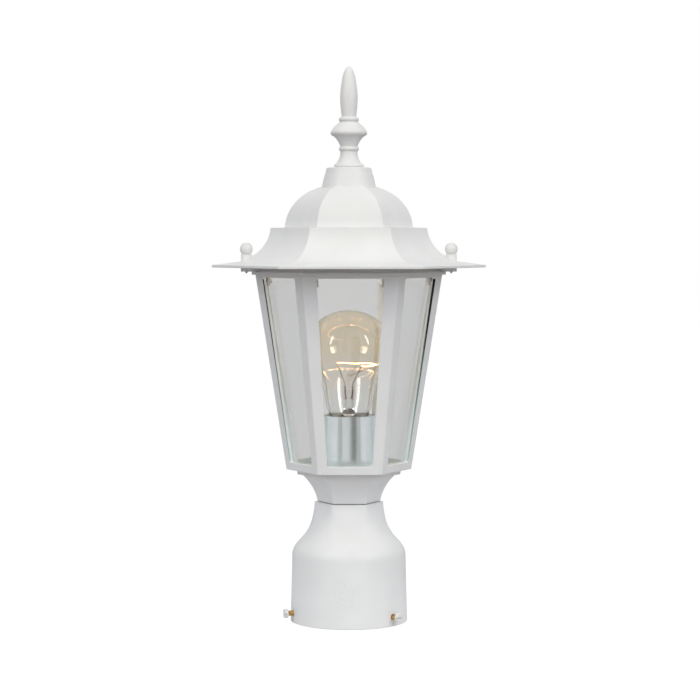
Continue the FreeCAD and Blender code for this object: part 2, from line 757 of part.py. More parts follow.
def ball_screw(side):
    neck_start = boss_top() + finial_gap
    neck_end = neck_start + ball_neck_height
    ball_middle = neck_end + ball_radius - ball_sink
    tip = rim_top - ball_screw_reach
    half_ball = math.sqrt(ball_radius ** 2 - (neck_end - ball_middle) ** 2)
    outline = Outline(0, tip).line(ball_screw_radius, tip + ball_screw_point)
    outline.line(ball_screw_radius, neck_start).line(ball_neck_radius, neck_start)
    outline.line(ball_neck_radius, neck_end).line(half_ball, neck_end)
    chord = math.hypot(half_ball, ball_middle + ball_radius - neck_end)
    bulge = ball_radius - math.sqrt(ball_radius ** 2 - chord ** 2 / 4)
    screw = turned(outline.arc(0, ball_middle + ball_radius, bulge))
    screw.translate(Vector(side * ear_reach, 0, 0))
    return screw


def finial():
    bottom = finial_bottom
    base_top = bottom + finial_base_height
    waist = bottom + finial_waist_height
    ring_top = waist + finial_ring_height
    disc = bottom + finial_disc_height
    shoulder = bottom + finial_shoulder_height
    leaf_bottom = shoulder + finial_ring_height
    outline = Outline(0, bottom).line(finial_base_radius, bottom).arc(finial_base_radius, base_top, finial_base_bulge)
    outline.line(finial_foot_radius, base_top).arc(finial_waist_radius, waist, finial_foot_bulge)
    outline.arc(finial_waist_radius, ring_top, finial_ring_bulge)
    outline.arc(finial_disc_radius - finial_disc_edge, disc - finial_disc_edge, finial_disc_under_bulge)
    outline.arc(finial_disc_radius - finial_disc_edge / 3, disc + finial_disc_edge, finial_disc_edge_bulge)
    outline.arc(finial_shoulder_radius, shoulder, finial_disc_top_bulge)
    outline.arc(finial_shoulder_radius, leaf_bottom, finial_ring_bulge)
    outline.line(leaf_foot_radius, leaf_bottom)
    belly = (leaf_radius, leaf_bottom + leaf_belly_height)
    taper = (leaf_taper_radius, leaf_bottom + leaf_taper_height)
    outline.curve([belly, taper, (0, leaf_bottom + leaf_length)], leaf_foot_way, leaf_tip_way)
    stud_hole = cylinder(stud_radius + thread_fit, bottom - overrun, bottom + stud_depth + overrun)
    return turned(outline).cut(stud_hole)


def roof_fixings():
    """The stud in the collar's top, and the washer and nut that hold it from below."""
    ceiling = collar_top - roof_wall
    nut_top = ceiling - roof_washer_thickness
    nut_bottom = nut_top - roof_nut_height
    stud_top = finial_bottom + stud_depth
    return {
        "roof_washer": ring(roof_washer_radius, stud_radius + hole_fit, nut_top, ceiling),
        "roof_nut": hexagon_prism(roof_nut_flats, nut_bottom, nut_top)
        .cut(cylinder(stud_radius + thread_fit, nut_bottom, nut_top)),
        "finial_stud": cylinder(stud_radius, stud_top - stud_length, stud_top),
    }


def ground_screw_hole():
    return cylinder(ground_screw_radius + thread_fit, fitter_ceiling - overrun, fitter_top - ground_hole_cover,
                    0, ground_screw_offset)


def ground_screw():
    head = cylinder(ground_screw_head_radius, fitter_ceiling - ground_screw_head_height, fitter_ceiling,
                    0, ground_screw_offset)
    tip = fitter_top - ground_hole_cover - ground_screw_tip_gap
    shank = cylinder(ground_screw_radius, fitter_ceiling, tip, 0, ground_screw_offset)
    return head.fuse(shank)


def nipple_and_nuts():
    """The threaded tube, its nuts and washer, and the bushing that guards the wires at its lower end."""
    thread = nipple_radius + thread_fit
    bushing_bottom = nipple_bottom - bushing_lip
    bushing = cylinder(bushing_radius, bushing_bottom, lower_nut_bottom)
    bushing = bushing.cut(cylinder(nipple_bore_radius, bushing_bottom, nipple_bottom))
    return {
        "nipple": ring(nipple_radius, nipple_bore_radius, nipple_bottom, socket_bottom),
        "wire_bushing": bushing.cut(cylinder(thread, nipple_bottom, lower_nut_bottom)),
        "nipple_nut_lower": hexagon_prism(nut_flats, lower_nut_bottom, lower_washer_bottom)
        .cut(cylinder(thread, lower_nut_bottom, lower_washer_bottom)),
        "nipple_washer_lower": ring(lower_washer_radius, nipple_hole_radius, lower_washer_bottom, fitter_ceiling),
        "nipple_nut_upper": hexagon_prism(nut_flats, upper_nut_bottom, hub_bottom)
        .cut(cylinder(thread, upper_nut_bottom, hub_bottom)),
    }


def socket():
    """The porcelain body on its hub, with its metal parts and the sleeve round it."""
    base_top = socket_bottom + socket_base_height
    top = socket_bottom + socket_height
    body = cylinder(socket_base_radius, socket_bottom, base_top).fuse(cylinder(socket_radius, base_top, top))
    body = body.cut(cylinder(socket_cavity_radius, socket_floor, top))
    shell_top = socket_floor + screw_shell_height
    shell = cylinder(screw_shell_radius, socket_floor, shell_top)
    shell = shell.cut(cylinder(screw_shell_radius - screw_shell_wall, socket_floor + screw_shell_wall, shell_top))
    shell = shell.cut(cylinder(screw_shell_floor_hole, socket_floor, shell_top))
    terminal_z = socket_bottom + terminal_height
    terminal_inner = socket_base_radius - terminal_screw_length
    head_outer = socket_base_radius + terminal_head_height
    terminals = []
    for azimuth in terminal_azimuths:
        hole = radial_cylinder(terminal_screw_radius + thread_fit, terminal_inner - thread_fit,
                               socket_base_radius + overrun, azimuth, terminal_z)
        body = body.cut(hole)
        shank = radial_cylinder(terminal_screw_radius, terminal_inner, socket_base_radius, azimuth, terminal_z)
        head = radial_cylinder(terminal_head_radius, socket_base_radius, head_outer, azimuth, terminal_z)
        terminals.append(shank.fuse(head))
    sleeve = cylinder(sleeve_radius, sleeve_bottom, sleeve_bottom + sleeve_height)
    sleeve = sleeve.cut(cylinder(sleeve_radius - sleeve_wall, upper_nut_bottom, sleeve_bottom + sleeve_height))
    contact = cylinder(center_contact_radius, socket_floor, socket_floor + center_contact_height)
    return {
        "socket_hub": ring(hub_radius, nipple_radius + thread_fit, hub_bottom, socket_bottom),
        "socket_body": body,
        "socket_screw_shell": shell,
        "socket_center_contact": contact,
        "socket_terminal_screws": Part.makeCompound(terminals),
        "socket_sleeve": sleeve.cut(cylinder(nipple_hole_radius, sleeve_bottom, upper_nut_bottom)),
    }


def bulb_outline(inset):
    """The outside of the bulb's glass, or its inside when it is inset by the wall."""
    def place(radius, height):
        return radius - inset, glass_bottom + height

    apex = glass_bottom + glass_height - inset
    outline = Outline(0, glass_bottom).line(glass_neck_radius - inset, glass_bottom)
    flank = [place(glass_throat_radius, glass_throat_height), place(glass_flank_radius, glass_flank_height),
             place(glass_belly_radius, glass_belly_height)]
    outline.curve(flank, (0, 1), (0, 1))
    crown_radius = glass_belly_radius - inset
    crown_height = apex - glass_bottom - glass_belly_height
    crown = []
    for turn in glass_crown_turns:
        radians = math.radians(turn)
        crown.append((crown_radius * math.cos(radians), apex - crown_height * (1 - math.sin(radians))))
    return outline.curve(crown, (0, 1), (-1, 0))


def bulb_base_shell():
    """The threaded shell of the base and the skirt that the glass stands in."""
    root = base_root_radius
    cone_top = skirt_bottom + base_skirt_cone
    outline = Outline(root, base_bottom)
    for turn in range(base_thread_turns):
        start = base_bottom + turn * base_thread_pitch
        outline.arc(root, start + base_thread_pitch / 2, base_crest_radius - root)
        outline.line(root, start + base_thread_pitch)
    outline.line(root, skirt_bottom).line(base_skirt_radius, cone_top)
    outline.line(base_skirt_radius, skirt_top).line(base_skirt_radius - base_wall, skirt_top)
    outline.line(base_skirt_radius - base_wall, cone_top + base_wall)
    outline.line(root - base_wall, skirt_bottom + base_wall)
    outline.line(root - base_wall, base_bottom)
    return turned(outline)


def bulb_stem():
    """The glass mount: a dish sealed in the neck, a tube, a flat pinch, and a rod with a button."""
    dish_radius = glass_neck_radius - glass_wall
    outline = Outline(0, skirt_top + glass_wall).line(dish_radius - glass_wall, skirt_top)
    outline.line(dish_radius, skirt_top).line(dish_radius, skirt_top + glass_wall)
    outline.arc(stem_radius, stem_tube_bottom, stem_dish_bulge).line(stem_radius, stem_pinch_bottom)
    dish = turned(outline.line(0, stem_pinch_bottom))
    pinch = Part.makeBox(stem_pinch_width, stem_pinch_thickness, stem_pinch_height + stem_overlap,
                         Vector(-stem_pinch_width / 2, -stem_pinch_thickness / 2, stem_pinch_bottom - stem_overlap))
    rod = cylinder(stem_rod_radius, stem_pinch_top - stem_overlap, stem_rod_top)
    stem = dish.fuse([pinch, rod, Part.makeSphere(stem_button_radius, Vector(0, 0, stem_rod_top))])
    return stem.cut(bulb_leads()).cut(bulb_supports())


def ring_point(azimuth, height):
    """A point on the circle that the filament bends along."""
    radians = math.radians(azimuth)
    return Vector(filament_ring_radius * math.cos(radians), filament_ring_radius * math.sin(radians), height)


def wire(points, radius):
    """A round wire along straight runs, with a ball at each joint."""
    pieces = []
    for start, end in zip(points, points[1:]):
        pieces.append(Part.makeCylinder(radius, (end - start).Length, start, end - start))
    balls = [Part.makeSphere(radius, point) for point in points[1:-1]]
    return pieces[0].fuse(pieces[1:] + balls)


def bulb_leads():
    """The two lead wires, from the pinch to the ends of the filament."""
    leads = []
    for side, azimuth in zip((-1, 1), filament_azimuths):
        foot = Vector(side * lead_spacing / 2, 0, stem_pinch_top - lead_straight)
        knee = foot + up * (2 * lead_straight)
        leads.append(wire([foot, knee, ring_point(azimuth, filament_height)], lead_radius))
    return Part.makeCompound(leads)


def bulb_supports():
    """Thin wires that reach out from the stem's button and carry the filament."""
    hub = Vector(0, 0, stem_rod_top)
    supports = []
    for azimuth in support_azimuths:
        tip = ring_point(azimuth, filament_height - filament_radius - support_radius)
        way = (tip - hub).normalize()
        start = hub + way * (stem_button_radius / 2)
        supports.append(Part.makeCylinder(support_radius, (tip - start).Length, start, way))
    return Part.makeCompound(supports)


def bulb_filament():
    """An arc of filament wire round the stem, between the tips of the two leads."""
    first, last = filament_azimuths
    start = ring_point(first, filament_height)
    way = Vector(start.y, -start.x, 0)
    section = Part.Face(Part.Wire(Part.Circle(start, way, filament_radius).toShape()))
    arc = section.revolve(Vector(0, 0, filament_height), up, last - first)
    return arc.cut(bulb_leads())


def panes():
    names = {0: "back_right", 1: "back", 2: "back_left", 3: "front_left", 4: "front", 5: "front_right"}
    return {"pane_" + names[number]: spun(pane(), 30 + 60 * number) for number in faces}


def lantern():
    """Every piece of the lantern, by name."""
    nodes = {"fitter": fitter(), "neck": neck(), "cage": cage(), "roof": roof(), "finial": finial()}
    nodes.update(panes())
    nodes["pane_clips"] = Part.makeCompound([spun(pane_clip(), 60 * number) for number in faces])
    nodes["pane_clip_screws"] = Part.makeCompound([spun(clip_screw(), 60 * number) for number in faces])
    nodes.update(nipple_and_nuts())
    nodes.update(socket())
    nodes.update(roof_fixings())
    nodes["ground_screw"] = ground_screw()
    for name, azimuth in set_screw_azimuths.items():
        nodes["set_screw_" + name] = set_screw(azimuth)
    nodes["ball_screw_left"] = ball_screw(-1)
    nodes["ball_screw_right"] = ball_screw(1)
    nodes["bulb_glass"] = turned(bulb_outline(0)).cut(turned(bulb_outline(glass_wall)))
    nodes["bulb_base_shell"] = bulb_base_shell()
    insulator = Outline(0, insulator_bottom).line(insulator_bottom_radius, insulator_bottom)
    nodes["bulb_base_insulator"] = turned(insulator.line(insulator_top_radius, base_bottom).line(0, base_bottom))
    nodes["bulb_base_contact"] = cylinder(bulb_contact_radius, bulb_bottom, insulator_bottom)
    nodes["bulb_stem"] = bulb_stem()
    nodes["bulb_leads"] = bulb_leads()
    nodes["bulb_supports"] = bulb_supports()
    nodes["bulb_filament"] = bulb_filament()
    return nodes


os.makedirs("parts", exist_ok=True)
for name, shape in lantern().items():
    shape.exportStep("parts/" + name + ".step")
    print(name, len(shape.Solids), round(shape.Volume, 1), shape.isValid())
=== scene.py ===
import json
import math

import bmesh
import bpy
import numpy as np
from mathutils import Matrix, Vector

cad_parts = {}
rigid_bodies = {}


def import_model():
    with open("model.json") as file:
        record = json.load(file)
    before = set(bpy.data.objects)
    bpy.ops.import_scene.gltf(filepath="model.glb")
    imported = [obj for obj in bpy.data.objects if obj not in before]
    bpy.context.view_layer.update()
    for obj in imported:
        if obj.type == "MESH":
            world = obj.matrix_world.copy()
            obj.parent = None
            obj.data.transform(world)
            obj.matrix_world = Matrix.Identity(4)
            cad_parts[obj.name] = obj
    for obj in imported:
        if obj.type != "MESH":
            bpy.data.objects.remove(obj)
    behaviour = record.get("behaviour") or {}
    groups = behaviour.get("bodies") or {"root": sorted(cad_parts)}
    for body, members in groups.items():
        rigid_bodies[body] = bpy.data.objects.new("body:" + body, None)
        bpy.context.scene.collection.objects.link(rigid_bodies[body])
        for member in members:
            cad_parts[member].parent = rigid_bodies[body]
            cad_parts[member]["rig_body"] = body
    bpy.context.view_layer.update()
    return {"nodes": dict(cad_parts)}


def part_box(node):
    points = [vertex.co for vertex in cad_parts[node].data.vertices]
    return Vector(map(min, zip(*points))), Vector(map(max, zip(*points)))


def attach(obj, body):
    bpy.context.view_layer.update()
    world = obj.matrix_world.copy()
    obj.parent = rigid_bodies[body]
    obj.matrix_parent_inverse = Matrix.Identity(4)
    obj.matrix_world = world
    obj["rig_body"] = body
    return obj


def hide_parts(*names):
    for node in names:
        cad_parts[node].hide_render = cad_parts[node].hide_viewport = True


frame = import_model()
nodes = frame["nodes"]

# Lengths are in metres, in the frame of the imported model: +Z up, the front window faces -Y.
# Azimuths on the lantern go round its axis in degrees, from +X towards the back.
MM = 0.001
ALMOST_ZERO = 1e-6

# The photograph's point of view
PHOTO_PIXELS = 700
SENSOR_WIDTH = 0.036
FOCAL_PIXELS = 2047.0         # distance to the image plane, in pixels of the photograph
CAMERA_DISTANCE = 1.468
EYE_HEIGHT = 0.2743
CAMERA_PITCH = math.radians(3.1)
CAMERA_YAW = math.radians(1.0)
AXIS_PIXELS = 1.1             # the lantern's axis is this far left of the picture's middle

# Finishes
GLASS_IOR = 1.5
EDGE_SOFTENING = 0.7 * MM     # radius to which the paint rounds a casting's edges
MARKS_PLACE = (-0.0035, -0.0415, 0.024)    # the middle of the casting marks, on the fitter's skirt
MARKS_CORE = 6 * MM           # the marks are at full depth this far from their middle,
MARKS_REACH = 15 * MM         # and gone this far from it
MARKS_DEPTH = 3.0             # in depths of the paint's own texture
SMEARED = 0.985               # what a smear on a pane lets through
PANE_FOOT, PANE_HEAD = 0.12, 0.25          # heights between which the panes' edges and the sealant change their tone; their dark tops are painted shade under the roof
AMBER_FOOT, AMBER_HEAD = 0.150, 0.225      # heights between which the bulb turns amber
PAINTED_EDGE_GLOW = 0.28              # painted light: the glow of the cut edges, standing in for the light that runs through a pane and leaves at its edge

# Pieces that the scene makes itself
FILAMENT_RADIUS = 19.8 * MM
FILAMENT_START, FILAMENT_END = 115.0, -65.0
LEAD_SPREAD = 2.7 * MM        # from the stem's axis to each lead's foot
SCREW_PITCH = 0.8 * MM
SET_SCREWS = {"set_screw_left": 197, "set_screw_right": 317, "set_screw_back": 77}
PANES = ["pane_front", "pane_front_left", "pane_front_right",
         "pane_back", "pane_back_left", "pane_back_right"]
JAMB_FACING = (-0.49, -0.87, 0.06)         # for the right side window; the left one mirrors it
PANE_FACING = (0.87, -0.5, 0.0)


# ---------------------------------------------------------------- materials

def new_material(name):
    material = bpy.data.materials.new(name)
    material.use_nodes = True
    tree = material.node_tree
    shader = tree.nodes["Principled BSDF"]
    return material, tree, shader


def add_node(tree, kind, **settings):
    node = tree.nodes.new(kind)
    for name, value in settings.items():
        setattr(node, name, value)
    return node


def object_noise(tree, scale, detail=3.0):
    """Noise that is fixed to the object, at a number of cells to the metre."""
    place = add_node(tree, "ShaderNodeTexCoord")
    noise = add_node(tree, "ShaderNodeTexNoise")
    noise.inputs["Scale"].default_value = scale
    noise.inputs["Detail"].default_value = detail
    tree.links.new(place.outputs["Object"], noise.inputs["Vector"])
    return noise


def colour_ramp(tree, source, stops):
    """A colour for each value of the source, from stops of (value, colour)."""
    ramp = add_node(tree, "ShaderNodeValToRGB")
    while len(ramp.color_ramp.elements) < len(stops):
        ramp.color_ramp.elements.new(0.5)
    for element, (position, colour) in zip(ramp.color_ramp.elements, stops):
        element.position = position
        element.color = (*colour, 1.0)
    tree.links.new(source, ramp.inputs["Fac"])
    return ramp.outputs["Color"]


def value_range(tree, source, low, high):
    """The source's 0 to 1 as low to high."""
    spread = add_node(tree, "ShaderNodeMapRange")
    spread.inputs["To Min"].default_value = low
    spread.inputs["To Max"].default_value = high
    tree.links.new(source, spread.inputs["Value"])
    return spread.outputs["Result"]


def smooth_step(tree, source, start, end, low, high):
    """Low before the start, high beyond the end, and a smooth step between them."""
    step = add_node(tree, "ShaderNodeMapRange", interpolation_type="SMOOTHSTEP")
    step.inputs["From Min"].default_value = start
    step.inputs["From Max"].default_value = end
    step.inputs["To Min"].default_value = low
    step.inputs["To Max"].default_value = high
    tree.links.new(source, step.inputs["Value"])
    return step.outputs["Result"]


def add_bump(tree, shader, heights, distance, strength, edge_radius=0.0):
    """Bump from one or more heights, laid over each other and over softened edges."""
    normal = None
    if edge_radius > 0:
        softened = add_node(tree, "ShaderNodeBevel", samples=6)
        softened.inputs["Radius"].default_value = edge_radius
        normal = softened.outputs["Normal"]
    for height, amount in heights:
        bump = add_node(tree, "ShaderNodeBump")
        bump.inputs["Distance"].default_value = distance
        bump.inputs["Strength"].default_value = strength * amount
        tree.links.new(height, bump.inputs["Height"])
        if normal is not None:
            tree.links.new(normal, bump.inputs["Normal"])
        normal = bump.outputs["Normal"]
    tree.links.new(normal, shader.inputs["Normal"])


def white_paint():
    """Satin white powder paint over a casting: a fine orange peel, faint mottling and duller patches."""
    material, tree, shader = new_material("white_paint")
    fine = object_noise(tree, 1400.0, 2.0)
    broad = object_noise(tree, 38.0, 4.0)
    colour = colour_ramp(tree, broad.outputs["Fac"],
                         [(0.30, (0.80, 0.795, 0.775)), (0.72, (0.845, 0.842, 0.825))])
    tree.links.new(colour, shader.inputs["Base Color"])
    tree.links.new(value_range(tree, broad.outputs["Fac"], 0.36, 0.50), shader.inputs["Roughness"])
    shader.inputs["Specular IOR Level"].default_value = 0.35
    heights = [(fine.outputs["Fac"], 1.0), (broad.outputs["Fac"], 0.6), (casting_marks(tree), 1.0)]
    add_bump(tree, shader, heights, 0.12 * MM, 0.35, EDGE_SOFTENING)
    return material


def casting_marks(tree):
    """Shallow pits in one patch of the fitter's skirt, left by the casting."""
    place = add_node(tree, "ShaderNodeTexCoord")
    away = add_node(tree, "ShaderNodeVectorMath", operation="DISTANCE")
    away.inputs[1].default_value = MARKS_PLACE
    tree.links.new(place.outputs["Object"], away.inputs[0])
    patch = smooth_step(tree, away.outputs["Value"], MARKS_CORE, MARKS_REACH, 1.0, 0.0)
    noise = object_noise(tree, 300.0, 2.0)
    pits = smooth_step(tree, noise.outputs["Fac"], 0.54, 0.66, 0.0, -MARKS_DEPTH)
    depth = add_node(tree, "ShaderNodeMath", operation="MULTIPLY")
    tree.links.new(patch, depth.inputs[0])
    tree.links.new(pits, depth.inputs[1])
    return depth.outputs[0]


def screw_finish():
    """White paint on the screws' heads, a little thinner than on the castings."""
    material, tree, shader = new_material("screw_paint")
    noise = object_noise(tree, 420.0, 3.0)
    tone = colour_ramp(tree, noise.outputs["Fac"],
                       [(0.25, (0.72, 0.71, 0.68)), (0.55, (0.80, 0.795, 0.775))])
    tree.links.new(tone, shader.inputs["Base Color"])
    tree.links.new(value_range(tree, noise.outputs["Fac"], 0.25, 0.4), shader.inputs["Roughness"])
    shader.inputs["Specular IOR Level"].default_value = 0.4
    add_bump(tree, shader, [(noise.outputs["Fac"], 1.0)], 0.05 * MM, 0.3)
    return material


def metal(name, colour, worn_colour, low_roughness, high_roughness, noise_scale=260.0, metallic=1.0):
    """A bare or plated metal, worn in patches."""
    material, tree, shader = new_material(name)
    noise = object_noise(tree, noise_scale, 4.0)
    tone = colour_ramp(tree, noise.outputs["Fac"], [(0.3, worn_colour), (0.7, colour)])
    tree.links.new(tone, shader.inputs["Base Color"])
    tree.links.new(value_range(tree, noise.outputs["Fac"], low_roughness, high_roughness),
                   shader.inputs["Roughness"])
    shader.inputs["Metallic"].default_value = metallic
    add_bump(tree, shader, [(noise.outputs["Fac"], 1.0)], 0.02 * MM, 0.2)
    return material


def plain_finish(name, colour, dark_colour, roughness, bump=0.2):
    """Plastic, glaze or paint, a little uneven in its tone and its gloss."""
    material, tree, shader = new_material(name)
    noise = object_noise(tree, 180.0)
    tone = colour_ramp(tree, noise.outputs["Fac"], [(0.3, dark_colour), (0.7, colour)])
    tree.links.new(tone, shader.inputs["Base Color"])
    tree.links.new(value_range(tree, noise.outputs["Fac"], roughness * 0.85, roughness * 1.15),
                   shader.inputs["Roughness"])
    add_bump(tree, shader, [(noise.outputs["Fac"], 1.0)], 0.03 * MM, bump)
    return material


def make_glass(shader):
    shader.inputs["Roughness"].default_value = 0.0
    shader.inputs["Transmission Weight"].default_value = 1.0
    shader.inputs["IOR"].default_value = GLASS_IOR


def clear_glass(name, colour):
    """Clear glass with faint smears."""
    material, tree, shader = new_material(name)
    smears = object_noise(tree, 16.0, 2.0)
    smeared = tuple(part * SMEARED for part in colour)
    tone = colour_ramp(tree, smears.outputs["Fac"], [(0.3, smeared), (0.7, colour)])
    tree.links.new(tone, shader.inputs["Base Color"])
    make_glass(shader)
    let_light_through(tree, shader, colour)
    return material


def height_mix(tree, low, high):
    """0 below one height, 1 above another, in metres."""
    place = add_node(tree, "ShaderNodeTexCoord")
    apart = add_node(tree, "ShaderNodeSeparateXYZ")
    tree.links.new(place.outputs["Object"], apart.inputs["Vector"])
    spread = add_node(tree, "ShaderNodeMapRange")
    spread.inputs["From Min"].default_value = low
    spread.inputs["From Max"].default_value = high
    tree.links.new(apart.outputs["Z"], spread.inputs["Value"])
    return spread.outputs["Result"]


def bulb_glass():
    """Thin blown glass, a little amber from its crown down to where the neck starts."""
    material, tree, shader = new_material("lamp_glass")
    tone = colour_ramp(tree, height_mix(tree, AMBER_FOOT, AMBER_HEAD),
                       [(0.10, (0.965, 0.96, 0.95)), (0.45, (0.98, 0.94, 0.88)), (0.62, (0.985, 0.92, 0.81))])
    tree.links.new(tone, shader.inputs["Base Color"])
    make_glass(shader)
    let_light_through(tree, shader, (0.97, 0.95, 0.90))
    return material


def cut_glass_edge(name, stops, clearness):
    """The ground edge of a pane, with its tones from the bottom up, and a glow of painted light in the same
    tones.
    """
    material, tree, shader = new_material(name)
    tone = colour_ramp(tree, height_mix(tree, PANE_FOOT, PANE_HEAD), stops)
    tree.links.new(tone, shader.inputs["Base Color"])
    grain = object_noise(tree, 900.0, 2.0)
    tree.links.new(value_range(tree, grain.outputs["Fac"], 0.25, 0.4), shader.inputs["Roughness"])
    shader.inputs["Transmission Weight"].default_value = clearness
    tree.links.new(tone, shader.inputs["Emission Color"])
    # painted light: the edge glows, most where it lets least through
    shader.inputs["Emission Strength"].default_value = PAINTED_EDGE_GLOW * (1 - clearness)
    shader.inputs["IOR"].default_value = GLASS_IOR
    add_bump(tree, shader, [(grain.outputs["Fac"], 1.0)], 0.05 * MM, 0.3)
    let_light_through(tree, shader, (0.8, 0.85, 0.83))
    return material


def painted_shade_sealant():
    """Sealant round a pane, with painted shade: black under the roof, where the brim's shade falls, and a
    dull teal lower down.
    """
    material, tree, shader = new_material("painted_shade_sealant")
    # painted shade: the tone goes to black towards the roof, where the brim shades the jamb
    tone = colour_ramp(tree, height_mix(tree, PANE_FOOT, PANE_HEAD),
                       [(0.05, (0.34, 0.50, 0.49)), (0.45, (0.14, 0.22, 0.21)),
                        (0.70, (0.02, 0.024, 0.02)), (1.0, (0.01, 0.01, 0.008))])
    tree.links.new(tone, shader.inputs["Base Color"])
    grain = object_noise(tree, 700.0, 2.0)
    tree.links.new(value_range(tree, grain.outputs["Fac"], 0.45, 0.65), shader.inputs["Roughness"])
    shader.inputs["Specular IOR Level"].default_value = 0.2
    add_bump(tree, shader, [(grain.outputs["Fac"], 1.0)], 0.08 * MM, 0.4)
    return material


def let_light_through(tree, shader, colour):
    """Rays that gather shadows and soft light pass the glass and only take its colour."""
    path = add_node(tree, "ShaderNodeLightPath")
    through = add_node(tree, "ShaderNodeBsdfTransparent")
    through.inputs["Color"].default_value = (*colour, 1.0)
    mix = add_node(tree, "ShaderNodeMixShader")
    either = add_node(tree, "ShaderNodeMath", operation="MAXIMUM")
    tree.links.new(path.outputs["Is Shadow Ray"], either.inputs[0])
    tree.links.new(path.outputs["Is Diffuse Ray"], either.inputs[1])
    tree.links.new(either.outputs[0], mix.inputs["Fac"])
    tree.links.new(shader.outputs["BSDF"], mix.inputs[1])
    tree.links.new(through.outputs["BSDF"], mix.inputs[2])
    tree.links.new(mix.outputs["Shader"], tree.nodes["Material Output"].inputs["Surface"])


def glowing(name, colour, strength):
    """A wire that glows, less in patches."""
    material, tree, shader = new_material(name)
    noise = object_noise(tree, 500.0, 2.0)
    duller = tuple(part * 0.7 for part in colour)
    tone = colour_ramp(tree, noise.outputs["Fac"], [(0.3, duller), (0.6, colour)])
    tree.links.new(tone, shader.inputs["Emission Color"])
    shader.inputs["Base Color"].default_value = (*colour, 1.0)
    shader.inputs["Emission Strength"].default_value = strength
    return material


# ---------------------------------------------------------------- meshes

def new_piece(name, verts, polygons, material, body, slot, replaced, smooth_angle):
    """Adds a piece that rides on a body and takes the place of the CAD nodes that it replaces."""
    mesh = bpy.data.meshes.new(name)
    mesh.from_pydata([tuple(vert) for vert in verts], [], polygons)
    mesh.update()
    piece = bpy.data.objects.new(name, mesh)
    bpy.context.scene.collection.objects.link(piece)
    mesh.materials.append(material)
    face_outwards(mesh)
    smooth_by_angle(mesh, smooth_angle)
    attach(piece, body)
    if replaced:
        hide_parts(*replaced)


def face_outwards(mesh):
    work = bmesh.new()
    work.from_mesh(mesh)
    bmesh.ops.recalc_face_normals(work, faces=work.faces)
    work.to_mesh(mesh)
    work.free()


def smooth_by_angle(mesh, angle):
    """Smooth shading, but for the edges that are sharper than the angle."""
    work = bmesh.new()
    work.from_mesh(mesh)
    for face in work.faces:
        face.smooth = True
    for edge in work.edges:
        edge.smooth = edge.is_boundary or edge.calc_face_angle(0.0) < math.radians(angle)
    work.to_mesh(mesh)
    work.free()


def grid_polygons(rows, columns):
    """Quads of a grid of rows that each close into a ring."""
    polygons = []
    for row in range(rows - 1):
        for column in range(columns):
            after = (column + 1) % columns
            low = row * columns
            high = low + columns
            polygons.append((low + column, low + after, high + after, high + column))
    return polygons


class Frame:
    """Where a turned piece stands: its origin, the way of its axis, and a way across it."""

    def __init__(self, origin, axis):
        self.origin = Vector(origin)
        self.axis = Vector(axis).normalized()
        side = Vector((0, 0, 1)) if abs(self.axis.z) < 0.5 else Vector((1, 0, 0))
        self.across = side.cross(self.axis).normalized()
        self.beside = self.axis.cross(self.across)

    def place(self, radius, turn, along):
        out = self.across * math.cos(turn) + self.beside * math.sin(turn)
        return self.origin + out * radius + self.axis * along


UPRIGHT = Frame((0, 0, 0), (0, 0, 1))


def turned(profile, where, segments, closed=False):
    """Vertices and polygons of a profile of (radius, height) turned about an axis.

    A closed profile goes back to its start; another one gets a flat face at each end.
    """
    verts = []
    for radius, height in profile:
        for step in range(segments):
            verts.append(where.place(radius, 2 * math.pi * step / segments, height))
    polygons = grid_polygons(len(profile), segments)
    if closed:
        last = (len(profile) - 1) * segments
        for step in range(segments):
            after = (step + 1) % segments
            polygons.append((last + step, last + after, after, step))
        return verts, polygons
    for row in (0, len(profile) - 1):
        if profile[row][0] > ALMOST_ZERO:
            polygons.append(tuple(range(row * segments, (row + 1) * segments)))
    return merged(verts, polygons)


def merged(verts, polygons):
    """The same mesh with its doubled points joined."""
    work = bmesh.new()
    made = [work.verts.new(vert) for vert in verts]
    for polygon in polygons:
        work.faces.new([made[number] for number in polygon])
    bmesh.ops.remove_doubles(work, verts=work.verts, dist=ALMOST_ZERO)
    bmesh.ops.dissolve_degenerate(work, dist=ALMOST_ZERO / 10, edges=work.edges)
    work.verts.index_update()
    joined = [vert.co.copy() for vert in work.verts]
    faces = [tuple(vert.index for vert in face.verts) for face in work.faces]
    work.free()
    return joined, faces


def threaded(radius, depth, pitch, bottom, top, where=UPRIGHT, point=0.0):
    """A rod with a helical thread that fades out at both ends, and a lower end that can taper to a point."""
    segments, rows_a_turn, fewest_rows = 32, 10, 6
    blunt = 0.02                # the share of its radius that the point keeps
    rows = max(fewest_rows, int(math.ceil((top - bottom) / pitch * rows_a_turn)))
    verts = []
    for row in range(rows + 1):
        along = bottom + (top - bottom) * row / rows
        fade = min(1.0, (along - bottom) / pitch, (top - along) / pitch)
        for step in range(segments):
            share = (along / pitch - step / segments) % 1.0
            ridge = 1 - abs(2 * share - 1)
            reach = radius - depth * (1 - ridge * fade)
            if point > 0 and along < bottom + point:
                reach *= max(blunt, (along - bottom) / point)
            verts.append(where.place(reach, 2 * math.pi * step / segments, along))
    polygons = grid_polygons(rows + 1, segments)
    polygons.append(tuple(range(segments)))
    polygons.append(tuple(range(rows * segments, (rows + 1) * segments)))
    return verts, polygons


def joined(*meshes):
    """Several meshes as one."""
    verts, polygons = [], []
    for more_verts, more_polygons in meshes:
        first = len(verts)
        verts.extend(more_verts)
        polygons.extend(tuple(number + first for number in polygon) for polygon in more_polygons)
    return verts, polygons


